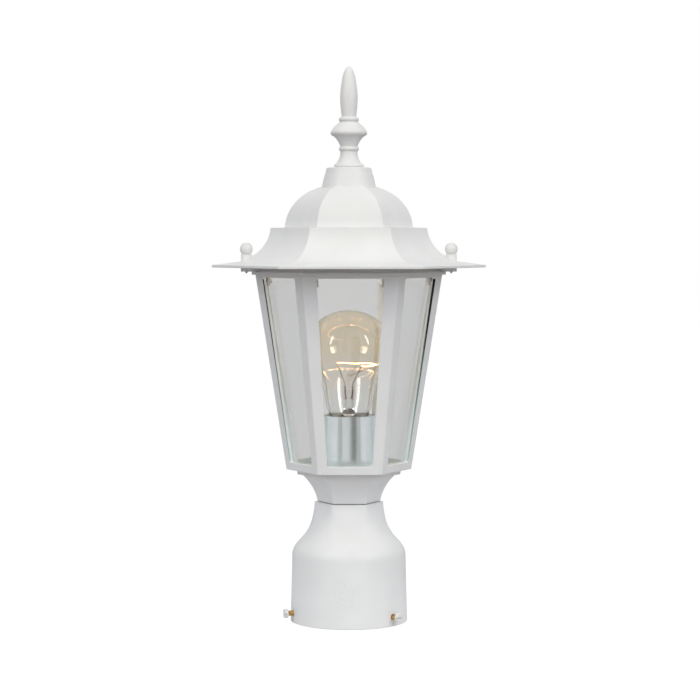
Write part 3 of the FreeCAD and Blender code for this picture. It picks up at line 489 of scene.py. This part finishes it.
def smooth_curve(points, first_way, last_way, steps=14):
    """A curve with even curvature through points in a plane, given the ways it starts and ends."""
    places = np.array(points, float)
    chords = np.linalg.norm(np.diff(places, axis=0), axis=1)
    count = len(places)
    matrix = np.zeros((count, count))
    right = np.zeros((count, 2))
    matrix[0, 0] = matrix[-1, -1] = 1.0
    right[0] = np.array(first_way, float) / np.linalg.norm(first_way)
    right[-1] = np.array(last_way, float) / np.linalg.norm(last_way)
    for k in range(1, count - 1):
        before, after = chords[k - 1], chords[k]
        matrix[k, k - 1:k + 2] = (after, 2 * (before + after), before)
        right[k] = 3 * (after * (places[k] - places[k - 1]) / before
                        + before * (places[k + 1] - places[k]) / after)
    ways = np.linalg.solve(matrix, right)
    curve = [tuple(places[0])]
    for k in range(count - 1):
        for step in range(1, steps + 1):
            t = step / steps
            point = ((2 * t**3 - 3 * t**2 + 1) * places[k] + (t**3 - 2 * t**2 + t) * chords[k] * ways[k]
                     + (-2 * t**3 + 3 * t**2) * places[k + 1] + (t**3 - t**2) * chords[k] * ways[k + 1])
            curve.append(tuple(point))
    return curve


def tube(path, radius, segments):
    """A round rod along a list of points."""
    verts = []
    across = None
    for number, point in enumerate(path):
        way = (path[min(number + 1, len(path) - 1)] - path[max(number - 1, 0)]).normalized()
        if across is None:
            across = way.orthogonal().normalized()
        across = (across - way * across.dot(way)).normalized()
        beside = way.cross(across)
        for step in range(segments):
            turn = 2 * math.pi * step / segments
            verts.append(point + (across * math.cos(turn) + beside * math.sin(turn)) * radius)
    polygons = grid_polygons(len(path), segments)
    last = (len(path) - 1) * segments
    polygons.append(tuple(range(segments)))
    polygons.append(tuple(range(last, last + segments)))
    return verts, polygons


def ball(center, radius, stretch, segments):
    """A ball that is stretched in height."""
    profile = []
    for step in range(segments // 2 + 1):
        turn = math.pi * step / (segments // 2) - math.pi / 2
        profile.append((max(radius * math.cos(turn), 0.0), stretch * radius * math.sin(turn)))
    return turned(profile, Frame(center, (0, 0, 1)), segments)


def ring_point(radius, azimuth, height):
    angle = math.radians(azimuth)
    return Vector((radius * math.cos(angle), radius * math.sin(angle), height))


def dress(node, material):
    """Gives a CAD node its material."""
    piece = nodes[node]
    piece.data.materials.clear()
    piece.data.materials.append(material)


# ---------------------------------------------------------------- the lantern's finishes

paint = white_paint()
screw_paint = screw_finish()
pane_glass = clear_glass("pane_glass", (0.985, 0.992, 0.99))
# pane edges: the deep one darkens to black under the roof as painted shade, and both glow with painted light
pale_painted_glow_edge = cut_glass_edge("pale_painted_glow_edge", [(0.0, (0.62, 0.84, 0.82)), (0.5, (0.78, 0.86, 0.83)),
                                         (0.9, (0.84, 0.84, 0.81))], 0.35)
painted_shade_glow_edge = cut_glass_edge("painted_shade_glow_edge", [(0.0, (0.34, 0.90, 0.90)), (0.64, (0.28, 0.80, 0.80)),
                                         (0.74, (0.12, 0.17, 0.15)), (0.85, (0.02, 0.025, 0.02))], 0.0)
lamp_glass = bulb_glass()
zinc = metal("zinc", (0.78, 0.77, 0.74), (0.66, 0.65, 0.62), 0.30, 0.48)
clip_finish = plain_finish("clip_finish", (0.84, 0.84, 0.82), (0.74, 0.74, 0.72), 0.5)
screw_brass = metal("screw_brass", (0.42, 0.33, 0.19), (0.24, 0.18, 0.10), 0.35, 0.55)
brass = metal("brass", (0.70, 0.44, 0.15), (0.42, 0.23, 0.07), 0.24, 0.42)
nickel = metal("nickel", (0.50, 0.45, 0.38), (0.34, 0.30, 0.25), 0.25, 0.4)
seal_copper = metal("seal_copper", (0.34, 0.16, 0.08), (0.16, 0.08, 0.05), 0.35, 0.5)
base_brass = metal("base_brass", (0.48, 0.40, 0.22), (0.28, 0.22, 0.12), 0.25, 0.4)
aluminium = metal("aluminium", (0.84, 0.84, 0.84), (0.74, 0.74, 0.74), 0.2, 0.35)
sleeve_metal = metal("sleeve_metal", (0.88, 0.92, 0.935), (0.85, 0.895, 0.91), 0.22, 0.28, 30.0, 0.85)
dark_glaze = plain_finish("dark_glaze", (0.040, 0.032, 0.020), (0.022, 0.017, 0.011), 0.25, bump=0.05)
black_plastic = plain_finish("black_plastic", (0.03, 0.03, 0.03), (0.02, 0.02, 0.02), 0.5)
black_glass = plain_finish("black_glass", (0.015, 0.015, 0.02), (0.01, 0.01, 0.012), 0.08, bump=0.05)
green_finish = plain_finish("green_finish", (0.08, 0.36, 0.14), (0.05, 0.28, 0.10), 0.35)
# sealant whose black top is painted shade under the roof
sealant = painted_shade_sealant()
filament_glow = glowing("filament_glow", (1.0, 0.60, 0.25), 9.0)


# ---------------------------------------------------------------- the lantern's pieces

def cut_pane(name):
    """A pane with fine ground bevels, whose edges have finishes of their own."""
    bevel, same_plane, outer_part = 0.3 * MM, 0.99, 0.8
    source = nodes[name]
    work = bmesh.new()
    work.from_mesh(source.data)
    bmesh.ops.remove_doubles(work, verts=work.verts, dist=0.01 * MM)
    bmesh.ops.dissolve_limit(work, angle_limit=math.radians(1), verts=work.verts, edges=work.edges)
    bmesh.ops.recalc_face_normals(work, faces=work.faces)
    facing = max(work.faces, key=lambda face: face.calc_area()).normal.copy()

    def is_large(face):
        return abs(face.normal.dot(facing)) > same_plane

    rims = [edge for edge in work.edges if any(is_large(face) for face in edge.link_faces)]
    bmesh.ops.bevel(work, geom=rims, offset=bevel, offset_type="OFFSET", segments=1, affect="EDGES")
    mesh = bpy.data.meshes.new("glass_" + name)
    reach = max(abs(vert.co.x) for vert in work.verts)
    beside = not name.endswith(("front", "back"))
    for face in work.faces:
        # the outer edges of the side panes take the edge whose top is painted shade
        outermost = beside and abs(face.calc_center_median().x) > outer_part * reach
        face.material_index = 0 if is_large(face) else 2 if outermost else 1
        face.smooth = False
    work.to_mesh(mesh)
    work.free()
    piece = bpy.data.objects.new("glass_" + name, mesh)
    bpy.context.scene.collection.objects.link(piece)
    for material in (pane_glass, pale_painted_glow_edge, painted_shade_glow_edge):
        mesh.materials.append(material)
    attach(piece, source["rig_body"])
    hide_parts(name)


def jamb_corners(side):
    """The outer jamb of a front side window: its normal, its outer edge and its inner edge, each upwards."""
    same_plane, digits = 0.999, 6
    facing = Vector(JAMB_FACING).normalized()
    facing.x *= side
    outwards = Vector(PANE_FACING)
    outwards.x *= side
    mesh = nodes["cage"].data
    corners = {}
    for polygon in mesh.polygons:
        if polygon.normal.dot(facing) > same_plane:
            for number in polygon.vertices:
                place = mesh.vertices[number].co
                if place.x * side > 0 > place.y:
                    corners[tuple(round(part, digits) for part in place)] = place
    by_height = sorted(corners.values(), key=lambda place: place.z)
    low = sorted(by_height[:2], key=lambda place: place.dot(outwards))
    high = sorted(by_height[-2:], key=lambda place: place.dot(outwards))
    return facing, (low[1], high[1]), (low[0], high[0])


def painted_shade_bead(name, side, foot_width, head_width):
    """A bead of sealant on the outer jamb of a front side window, along the jamb's outer edge, darkened
    towards the roof as painted shade.
    """
    rows, inset, sunk, proud = 12, 0.1 * MM, 0.05 * MM, 0.2 * MM
    facing, outer, inner = jamb_corners(side)
    verts = []
    for row in range(rows + 1):
        share = row / rows
        edge = outer[0].lerp(outer[1], share)
        inwards = (inner[0].lerp(inner[1], share) - edge).normalized()
        width = foot_width + (head_width - foot_width) * share
        section = ((inset, -sunk), (inset + width, -sunk), (width, proud), (2 * inset, proud))
        for depth, rise in section:
            verts.append(edge + inwards * depth + facing * rise)
    columns = len(section)
    ends = [tuple(range(columns)), tuple(range(columns * rows, columns * (rows + 1)))]
    polygons = grid_polygons(rows + 1, columns) + ends
    new_piece(name, verts, polygons, sealant, "lantern", "black_plastic", (), 30)


def blown_bulb():
    """The bulb's envelope: an outer and an inner skin that meet at the neck's foot."""
    low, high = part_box("bulb_glass")
    wall, segments, crown_degrees = 0.7 * MM, 128, 3
    outline = ((13.0, 0.0), (14.8, 5.3), (19.6, 25.3), (30.5, 52.8))     # radius and height in mm

    def skin(inset):
        points = [(radius * MM - inset, low.z + height * MM) for radius, height in outline]
        rise = smooth_curve(points, (0, 1), (0, 1))
        belly, widest = points[-1]
        apex = high.z - inset
        crown = []
        for turn in range(crown_degrees, 91, crown_degrees):
            angle = math.radians(turn)
            crown.append((belly * math.cos(angle), widest + (apex - widest) * math.sin(angle)))
        crown[-1] = (0.0, apex)
        return rise + crown

    verts, polygons = turned(skin(0.0) + skin(wall)[::-1], UPRIGHT, segments, closed=True)
    verts, polygons = merged(verts, polygons)
    new_piece("blown_bulb", verts, polygons, lamp_glass, "bulb", "bulb_glass", ("bulb_glass",), 60)


def filament_height():
    low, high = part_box("bulb_filament")
    return (low.z + high.z) / 2


def lead_foot(side):
    """Where a lead comes out of the stem."""
    low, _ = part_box("bulb_leads")
    return Vector((side * LEAD_SPREAD, 0, low.z))


def coiled_filament():
    """The filament: a fine coil that sags a little between its supports."""
    turns, steps_a_turn, coil_radius, wire_radius = 150, 8, 0.33 * MM, 0.09 * MM
    sag_depth, sags, sag_start, lift = 0.5 * MM, 3, 40, 0.25 * MM
    height = filament_height()
    steps = turns * steps_a_turn
    coil = []
    for step in range(steps + 1):
        azimuth = FILAMENT_START + (FILAMENT_END - FILAMENT_START) * step / steps
        turn = 2 * math.pi * turns * step / steps
        sag = sag_depth * math.sin(math.radians(azimuth * sags + sag_start)) ** 2
        coil.append(ring_point(FILAMENT_RADIUS + coil_radius * math.cos(turn), azimuth,
                               height + coil_radius * math.sin(turn) - sag + lift))
    new_piece("coiled_filament", *tube(coil, wire_radius, segments=6), filament_glow, "bulb", "filament",
              ("bulb_filament",), 180)


def lead_wires():
    """The leads, bent out from the stem to the filament's ends, with a weld low on each."""
    wire_radius, knee_rise, hook_rise = 0.36 * MM, 4.0 * MM, 0.2 * MM
    below_knee, past_knee, bend_end, before_tip = 0.8 * MM, 0.25 * MM, 1.2 * MM, 1.0 * MM
    weld_rise, weld_radius, weld_stretch = 1.9 * MM, 0.75 * MM, 1.5
    up = Vector((0, 0, 1))
    meshes = []
    for side, azimuth in ((-1, FILAMENT_START), (1, FILAMENT_END)):
        foot = lead_foot(side)
        knee = foot + up * knee_rise
        tip = ring_point(FILAMENT_RADIUS, azimuth, filament_height())
        way = (tip - knee).normalized()
        bend = [foot, knee - up * below_knee, knee + way * past_knee, knee + way * bend_end]
        hook = [tip - way * before_tip, tip, tip + up * hook_rise]
        meshes.append(tube(bend + hook, wire_radius, segments=10))
        meshes.append(ball(foot + up * weld_rise, weld_radius, weld_stretch, segments=12))
    new_piece("lead_wires", *joined(*meshes), nickel, "bulb", "lead_wire", ("bulb_leads",), 60)


def sealed_wires():
    """The leads' copper-coloured ends, which run down in the glass of the stem."""
    wire_radius = 0.55 * MM
    route = ((0, -0.3), (0, 2), (-0.3, 4), (-0.9, 7))       # outwards and down from the foot, in mm
    seals = []
    for side in (-1, 1):
        path = [lead_foot(side) + Vector((side * sway * MM, 0, -drop * MM)) for sway, drop in route]
        seals.append(tube(path, wire_radius, segments=10))
    new_piece("sealed_wires", *joined(*seals), seal_copper, "bulb", "lead_wire", (), 60)


def slotted_head(radius, height, slot_width, slot_depth, edge, where):
    """A round head with a slot across it, made of two halves and the slot's floor."""
    half_slot = slot_width / 2
    floor = height - slot_depth
    columns, foot_segments, chamfer = 18, 36, 0.3 * edge
    meshes = []
    for side in (-1, 1):
        verts = []
        rows = [(radius - edge, floor), (radius, floor), (radius, height - edge),
                (radius - chamfer, height - chamfer), (radius - edge, height)]
        limit = math.asin(half_slot / radius)
        for reach, along in rows:
            for step in range(columns + 1):
                turn = limit + (math.pi - 2 * limit) * step / columns
                verts.append(where.place(reach, side * turn, along))
        low_count = len(verts)
        for step in range(columns + 1):
            turn = limit + (math.pi - 2 * limit) * step / columns
            x = max(min(math.cos(turn) * radius, radius - edge), edge - radius)
            reach = math.hypot(x, half_slot)
            verts.append(where.place(reach, side * math.atan2(half_slot, x), height))
            verts.append(where.place(reach, side * math.atan2(half_slot, x), floor))
        polygons = []
        for row in range(1, len(rows) - 1):
            for step in range(columns):
                low = row * (columns + 1) + step
                polygons.append((low, low + 1, low + columns + 2, low + columns + 1))
        top = (len(rows) - 1) * (columns + 1)
        for step in range(columns):
            inner = low_count + 2 * step
            polygons.append((top + step, top + step + 1, inner + 2, inner))
            polygons.append((inner, inner + 2, inner + 3, inner + 1))
        for end in (0, columns):
            rim = [row * (columns + 1) + end for row in range(1, len(rows))]
            inner = low_count + 2 * end
            polygons.append(tuple(rim + [inner, inner + 1]))
        meshes.append((verts, polygons))
    foot = [(0.0, 0.0), (radius - edge, 0.0), (radius, edge), (radius, floor), (0.0, floor)]
    meshes.append(turned(foot, where, foot_segments))
    return joined(*meshes)


def set_screw(name, azimuth):
    """A brass set screw with a white slotted head, pointing at the lantern's axis."""
    shank_radius, thread_depth = 2.0 * MM, 0.28 * MM
    tip, head_face, head_end = 39.0 * MM, 46.13 * MM, 48.73 * MM          # from the lantern's axis
    head_radius, head_edge, slot_width, slot_depth = 3.3 * MM, 0.35 * MM, 0.8 * MM, 1.1 * MM
    low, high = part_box(name)
    height = Vector((0, 0, (low.z + high.z) / 2))
    out = ring_point(1.0, azimuth, 0)
    shank = threaded(shank_radius, thread_depth, SCREW_PITCH, 0.0, head_face - tip,
                     Frame(out * tip + height, out))
    new_piece(name + "_shank", *shank, brass, name, "brass_white_head", (name,), 50)
    head = slotted_head(head_radius, head_end - head_face, slot_width, slot_depth, head_edge,
                        Frame(out * head_face + height, out))
    new_piece(name + "_head", *head, screw_paint, name, "brass_white_head", (), 35)


def ball_screw(name):
    """A roof screw: a white ball on a short neck, over a threaded brass shank."""
    shank_radius, thread_depth, point, overlap = 2.0 * MM, 0.25 * MM, 2.2 * MM, 0.2 * MM
    ball_radius, ball_rise, segments, steps = 4.6 * MM, 3.6 * MM, 48, 46
    neck = ((0.0, 0.0), (3.3, 0.0), (3.5, 0.2), (3.45, 0.8))              # radius and height in mm
    ball_foot, ball_top = -52, 90                                         # degrees up the ball
    low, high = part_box(name)
    where = Frame(((low.x + high.x) / 2, 0, 0), (0, 0, 1))
    center = high.z - ball_radius
    neck_foot = center - ball_rise
    shank = threaded(shank_radius, thread_depth, SCREW_PITCH, low.z, neck_foot + overlap, where, point)
    new_piece(name + "_shank", *shank, screw_brass, name, "brass_white_head", (name,), 50)
    profile = [(radius * MM, neck_foot + height * MM) for radius, height in neck]
    for step in range(steps + 1):
        turn = math.radians(ball_foot + step * (ball_top - ball_foot) / steps)
        profile.append((max(ball_radius * math.cos(turn), 0.0), center + ball_radius * math.sin(turn)))
    ball_and_neck = turned(profile, where, segments)
    new_piece(name + "_ball", *ball_and_neck, screw_paint, name, "brass_white_head", (), 60)


def bulb_base():
    """The pressed base: a rolled thread that fades out below a shoulder and a skirt."""
    rows, segments = 150, 96
    pitch, skirt_height = 3.63 * MM, 3.9 * MM
    root, ridge_height, bore = 12.5, 0.7, 12.1                            # in mm
    shoulder = ((12.7, 0.0), (13.7, 0.9), (14.0, 1.3), (14.0, 3.6), (13.9, 3.9), (13.6, 3.9),
                (13.6, 1.6), (12.1, 0.4))                                 # radius and rise in mm
    low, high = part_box("bulb_base_shell")
    skirt = high.z - skirt_height
    fade_in, fade_out = 0.5 * pitch, 0.4 * pitch
    thread_top = skirt - fade_out
    verts = []
    for row in range(rows + 1):
        height = low.z + (skirt - low.z) * row / rows
        fade = min(1.0, (height - low.z) / fade_in, max(0.0, (thread_top - height) / fade_out))
        for step in range(segments):
            share = (height - low.z) / pitch - step / segments
            ridge = (0.5 - 0.5 * math.cos(2 * math.pi * share)) * fade
            radius = (root + ridge_height * ridge) * MM
            verts.append(UPRIGHT.place(radius, 2 * math.pi * step / segments, height))
    rings = [(radius * MM, skirt + rise * MM) for radius, rise in shoulder] + [(bore * MM, low.z)]
    for radius, height in rings:
        for step in range(segments):
            verts.append(UPRIGHT.place(radius, 2 * math.pi * step / segments, height))
    count = rows + 1 + len(rings)
    last = (count - 1) * segments
    closing = []
    for step in range(segments):
        after = (step + 1) % segments
        closing.append((last + step, last + after, after, step))
    polygons = grid_polygons(count, segments) + closing
    new_piece("pressed_base", verts, polygons, base_brass, "bulb", "base_metal", ("bulb_base_shell",), 50)


def finial_stud():
    """The threaded stud that the finial turns on."""
    radius, thread_depth = 2.4 * MM, 0.25 * MM
    low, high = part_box("finial_stud")
    stud = threaded(radius, thread_depth, SCREW_PITCH, low.z, high.z)
    new_piece("threaded_stud", *stud, zinc, "roof", "plated_steel", ("finial_stud",), 50)


FINISHED = (
    (paint, ("fitter", "neck", "cage", "roof", "finial")),
    (clip_finish, ("pane_clips", "pane_clip_screws")),
    (zinc, ("nipple", "nipple_nut_lower", "nipple_washer_lower", "nipple_nut_upper", "socket_hub",
            "roof_washer", "roof_nut")),
    (brass, ("socket_screw_shell", "socket_center_contact", "socket_terminal_screws")),
    (black_plastic, ("wire_bushing",)),
    (dark_glaze, ("socket_body",)),
    (sleeve_metal, ("socket_sleeve",)),
    (green_finish, ("ground_screw",)),
    (lamp_glass, ("bulb_stem",)),
    (aluminium, ("bulb_base_contact",)),
    (black_glass, ("bulb_base_insulator",)),
    (nickel, ("bulb_supports",)),
)
for material, names in FINISHED:
    for name in names:
        dress(name, material)
for name in PANES:
    cut_pane(name)
# beads that carry the painted shade line along the side windows' outer jambs, widest at the top
painted_shade_bead("glazing_bead_left", -1, 0.7 * MM, 0.9 * MM)
painted_shade_bead("glazing_bead_right", 1, 0.9 * MM, 1.9 * MM)
blown_bulb()
bulb_base()
coiled_filament()
lead_wires()
sealed_wires()
for name, azimuth in SET_SCREWS.items():
    set_screw(name, azimuth)
ball_screw("ball_screw_left")
ball_screw("ball_screw_right")
finial_stud()


# ---------------------------------------------------------------- studio

# Tones round the lantern are (degrees from the front towards the right, brightness), where 1 is white
# and the most that a ramp holds.
BACK_TONES = ((-180, 1.0), (-110, 0.80), (110, 0.80), (180, 1.0))          # for the soft light
ROOM_TONES = ((-180, 0.66), (-75, 0.70), (0, 0.66), (9, 0.06), (37, 0.04), (47, 0.66), (90, 0.70),
              (180, 0.66))                                                  # what glossy pieces mirror
BEYOND_TONES = ((-180, 0.625), (-75, 0.64), (-40, 0.74), (2, 0.70), (11, 0.05), (36, 0.03), (46, 0.70),
                (75, 0.64), (180, 0.625))                                   # what is seen through glass
LAMP_TURNS = ((-56, 0.0), (-55, 1.0), (-44, 1.0), (-43, 0.0), (43, 0.0), (44, 1.0), (55, 1.0), (56, 0.0))
LEAST_BLUE = 0.86                # the share of blue that the darkest tones keep
# Tones by the upward part of a ray's way
SKY_TONES = ((0.0, (0.20, 0.19, 0.195)), (0.25, (0.675, 0.71, 0.775)),
             (1.0, (0.725, 0.755, 0.815)))
LAMP_RISES = ((0.15, (0, 0, 0)), (0.17, (1, 1, 1)), (0.70, (1, 1, 1)), (0.73, (0, 0, 0)))
LAMP_BRIGHTNESS = 9.0            # of the strip lamps, as the bulb's glass shows them
WHITE = (1.0, 1.0, 1.0)

FLOOR_REACH = 6.0
FLOOR_DROP = 0.4 * MM            # the floor lies this far below the lantern's rim
FLOOR_GLOW = 1.24                # brings the floor to white in the picture
FLOOR_GLOW_SHARE = 0.7           # the rest of the floor's brightness takes the shadow
FLOOR_TONE = (0.8, 0.8, 0.8)
CARD_TONES = ((0.15, (0.72, 0.72, 0.72)), (0.5, (0.16, 0.135, 0.125)))     # by metres from the lantern

AIM_HEIGHT = 0.2                 # the lamps point at the lantern's axis here
STRIP_RISE, STRIP_DISTANCE, STRIP_WIDTH, STRIP_HEIGHT = 26, 1.4, 0.44, 1.0
STRIPS = (("strip_left", -45, 0.27, (0.985, 1.005, 1.09)), ("strip_right", 45, 0.33, (0.985, 1.005, 1.08)))
KEY_TURN, KEY_RISE, KEY_DISTANCE, KEY_WIDTH, KEY_HEIGHT = 4, 50, 1.25, 0.7, 0.5
KEY_LEVEL, KEY_COLOUR = 0.145, (1.0, 0.87, 0.43)
BULB_POWER, BULB_COLOUR = 0.055, (1.0, 0.93, 0.86)       # watts of the lit bulb in the studio's light
BULB_RISE, BULB_RADIUS = 42 * MM, 14 * MM
SPARKS, SPARK_POWER, SPARK_RADIUS = 26, 0.0010, 0.6 * MM
SPARK_COLOUR = (1.0, 0.62, 0.28)


def product(tree, first, second):
    """Two colours multiplied."""
    times = add_node(tree, "ShaderNodeVectorMath", operation="MULTIPLY")
    tree.links.new(first, times.inputs[0])
    tree.links.new(second, times.inputs[1])
    return times.outputs["Vector"]


def scaled(tree, value, level):
    times = add_node(tree, "ShaderNodeMath", operation="MULTIPLY")
    times.inputs[1].default_value = level
    tree.links.new(value, times.inputs[0])
    return times.outputs[0]


def choose(tree, share, otherwise, colour):
    """The colour where the share is 1, and otherwise another one."""
    share_in, first_in, second_in, colour_out = 0, 6, 7, 2      # by number, since the sockets share names
    mix = add_node(tree, "ShaderNodeMix", data_type="RGBA")
    tree.links.new(share, mix.inputs[share_in])
    tree.links.new(otherwise, mix.inputs[first_in])
    if isinstance(colour, tuple):
        mix.inputs[second_in].default_value = (*colour, 1.0)
    else:
        tree.links.new(colour, mix.inputs[second_in])
    return mix.outputs[colour_out]


def floor_material():
    """White to the camera; to the lantern, a card that darkens away from it."""
    material, tree, shader = new_material("floor")
    shader.inputs["Roughness"].default_value = 0.9
    shader.inputs["Specular IOR Level"].default_value = 0.1
    path = add_node(tree, "ShaderNodeLightPath")
    place = add_node(tree, "ShaderNodeTexCoord")
    away = add_node(tree, "ShaderNodeVectorMath", operation="LENGTH")
    tree.links.new(place.outputs["Object"], away.inputs[0])
    card = colour_ramp(tree, away.outputs["Value"], CARD_TONES)
    seen = path.outputs["Is Camera Ray"]
    tree.links.new(choose(tree, seen, card, FLOOR_TONE), shader.inputs["Base Color"])
    glow = add_node(tree, "ShaderNodeEmission")
    tree.links.new(scaled(tree, seen, FLOOR_GLOW), glow.inputs["Strength"])
    mix = add_node(tree, "ShaderNodeMixShader")
    tree.links.new(scaled(tree, seen, FLOOR_GLOW_SHARE), mix.inputs["Fac"])
    tree.links.new(shader.outputs["BSDF"], mix.inputs[1])
    tree.links.new(glow.outputs["Emission"], mix.inputs[2])
    tree.links.new(mix.outputs["Shader"], tree.nodes["Material Output"].inputs["Surface"])
    return material


def studio():
    """A floor that takes the lantern's shadow, and that isn't seen through the glass."""
    corners = [(x * FLOOR_REACH, y * FLOOR_REACH, 0) for x, y in ((-1, -1), (1, -1), (1, 1), (-1, 1))]
    floor_mesh = bpy.data.meshes.new("floor")
    floor_mesh.from_pydata(corners, [], [(0, 1, 2, 3)])
    floor_mesh.materials.append(floor_material())
    floor = bpy.data.objects.new("floor", floor_mesh)
    bpy.context.scene.collection.objects.link(floor)
    floor.location.z = -FLOOR_DROP
    floor.visible_transmission = False


def round_the_lantern(tones):
    """Ramp stops from tones round the lantern, warmer where they are darker."""
    stops = []
    for degrees, tone in tones:
        blue = min(1.0, LEAST_BLUE + tone / 4)
        stops.append(((degrees + 180) / 360, (tone, tone, tone * blue)))
    return stops


def turn_of(tree, way):
    """0 to 1 for a way round the lantern, from the back by the left, the front and the right to the back."""
    azimuth = add_node(tree, "ShaderNodeMath", operation="ARCTAN2")
    tree.links.new(way.outputs["X"], azimuth.inputs[0])
    tree.links.new(scaled(tree, way.outputs["Y"], -1.0), azimuth.inputs[1])
    turn = add_node(tree, "ShaderNodeMapRange")
    turn.inputs["From Min"].default_value = -math.pi
    turn.inputs["From Max"].default_value = math.pi
    tree.links.new(azimuth.outputs[0], turn.inputs["Value"])
    return turn.outputs["Result"]


def world():
    """White to the camera, grey through the windows, and a room with a dark front in the glossy pieces."""
    sky = bpy.data.worlds.new("studio")
    sky.use_nodes = True
    tree = sky.node_tree
    path = add_node(tree, "ShaderNodeLightPath")
    place = add_node(tree, "ShaderNodeTexCoord")
    way = add_node(tree, "ShaderNodeSeparateXYZ")
    tree.links.new(place.outputs["Generated"], way.inputs["Vector"])
    rise = way.outputs["Z"]
    turn = turn_of(tree, way)

    def round_about(tones):
        return colour_ramp(tree, turn, round_the_lantern(tones))

    soft = product(tree, round_about(BACK_TONES), colour_ramp(tree, rise, SKY_TONES))
    lamps = product(tree, round_about(LAMP_TURNS), colour_ramp(tree, rise, LAMP_RISES))
    beyond = add_node(tree, "ShaderNodeVectorMath", operation="MULTIPLY_ADD")
    tree.links.new(lamps, beyond.inputs[0])
    beyond.inputs[1].default_value = (LAMP_BRIGHTNESS,) * 3
    tree.links.new(round_about(BEYOND_TONES), beyond.inputs[2])
    glossy = choose(tree, path.outputs["Is Glossy Ray"], soft, round_about(ROOM_TONES))
    through = choose(tree, path.outputs["Is Transmission Ray"], glossy, beyond.outputs["Vector"])
    colour = choose(tree, path.outputs["Is Camera Ray"], through, WHITE)
    background = tree.nodes["Background"]
    tree.links.new(colour, background.inputs["Color"])
    background.inputs["Strength"].default_value = 1.0
    bpy.context.scene.world = sky


def softbox(name, azimuth, elevation, distance, width, height, level, colour):
    """A soft lamp that points at the lantern, at degrees from the front and up.

    At a level of 1 it lights a white card that faces it to white.
    """
    lamp = bpy.data.lights.new(name, "AREA")
    lamp.shape = "RECTANGLE"
    lamp.size = width
    lamp.size_y = height
    lamp.energy = level * math.pi ** 2 * distance ** 2
    lamp.color = colour
    holder = bpy.data.objects.new(name, lamp)
    bpy.context.scene.collection.objects.link(holder)
    turn, rise = math.radians(azimuth), math.radians(elevation)
    away = Vector((math.sin(turn) * math.cos(rise), -math.cos(turn) * math.cos(rise), math.sin(rise)))
    holder.location = Vector((0, 0, AIM_HEIGHT)) + away * distance
    holder.rotation_euler = away.to_track_quat("Z", "Y").to_euler()
    return holder


def lights():
    for name, turn, level, colour in STRIPS:
        softbox(name, turn, STRIP_RISE, STRIP_DISTANCE, STRIP_WIDTH, STRIP_HEIGHT, level, colour)
    key = softbox("key", KEY_TURN, KEY_RISE, KEY_DISTANCE, KEY_WIDTH, KEY_HEIGHT, KEY_LEVEL, KEY_COLOUR)
    key.visible_glossy = False
    key.visible_transmission = False
    lit_bulb()


def small_lamp(name, place, radius, power, colour):
    """A lamp inside the lantern that isn't seen itself."""
    lamp = bpy.data.lights.new(name, "POINT")
    lamp.shadow_soft_size = radius
    lamp.energy = power
    lamp.color = colour
    holder = bpy.data.objects.new(name, lamp)
    bpy.context.scene.collection.objects.link(holder)
    holder.location = place
    holder.visible_camera = False
    holder.visible_transmission = False
    return holder


def lit_bulb():
    """The lit filament: its warm light inside the lantern, and its mirror images in the blown glass."""
    height = filament_height()
    inside = small_lamp("inside", (0, 0, height + BULB_RISE), BULB_RADIUS, BULB_POWER, BULB_COLOUR)
    inside.visible_glossy = False
    for number in range(SPARKS):
        azimuth = FILAMENT_START + (FILAMENT_END - FILAMENT_START) * (number + 0.5) / SPARKS
        place = ring_point(FILAMENT_RADIUS, azimuth, height)
        spark = small_lamp("spark_%d" % number, place, SPARK_RADIUS, SPARK_POWER, SPARK_COLOUR)
        spark.visible_diffuse = False


def camera():
    """The camera of the photograph, for a square picture."""
    lens = bpy.data.cameras.new("camera")
    lens.sensor_width = SENSOR_WIDTH * 1000
    lens.lens = FOCAL_PIXELS / PHOTO_PIXELS * SENSOR_WIDTH * 1000
    eye = bpy.data.objects.new("camera", lens)
    bpy.context.scene.collection.objects.link(eye)
    eye.location = (-CAMERA_DISTANCE * math.sin(CAMERA_YAW), -CAMERA_DISTANCE * math.cos(CAMERA_YAW),
                    EYE_HEIGHT)
    eye.rotation_euler = (math.pi / 2 - CAMERA_PITCH, 0, -CAMERA_YAW - AXIS_PIXELS / FOCAL_PIXELS)
    bpy.context.scene.camera = eye


bpy.context.scene.view_settings.view_transform = "Standard"
studio()
world()
lights()
camera()
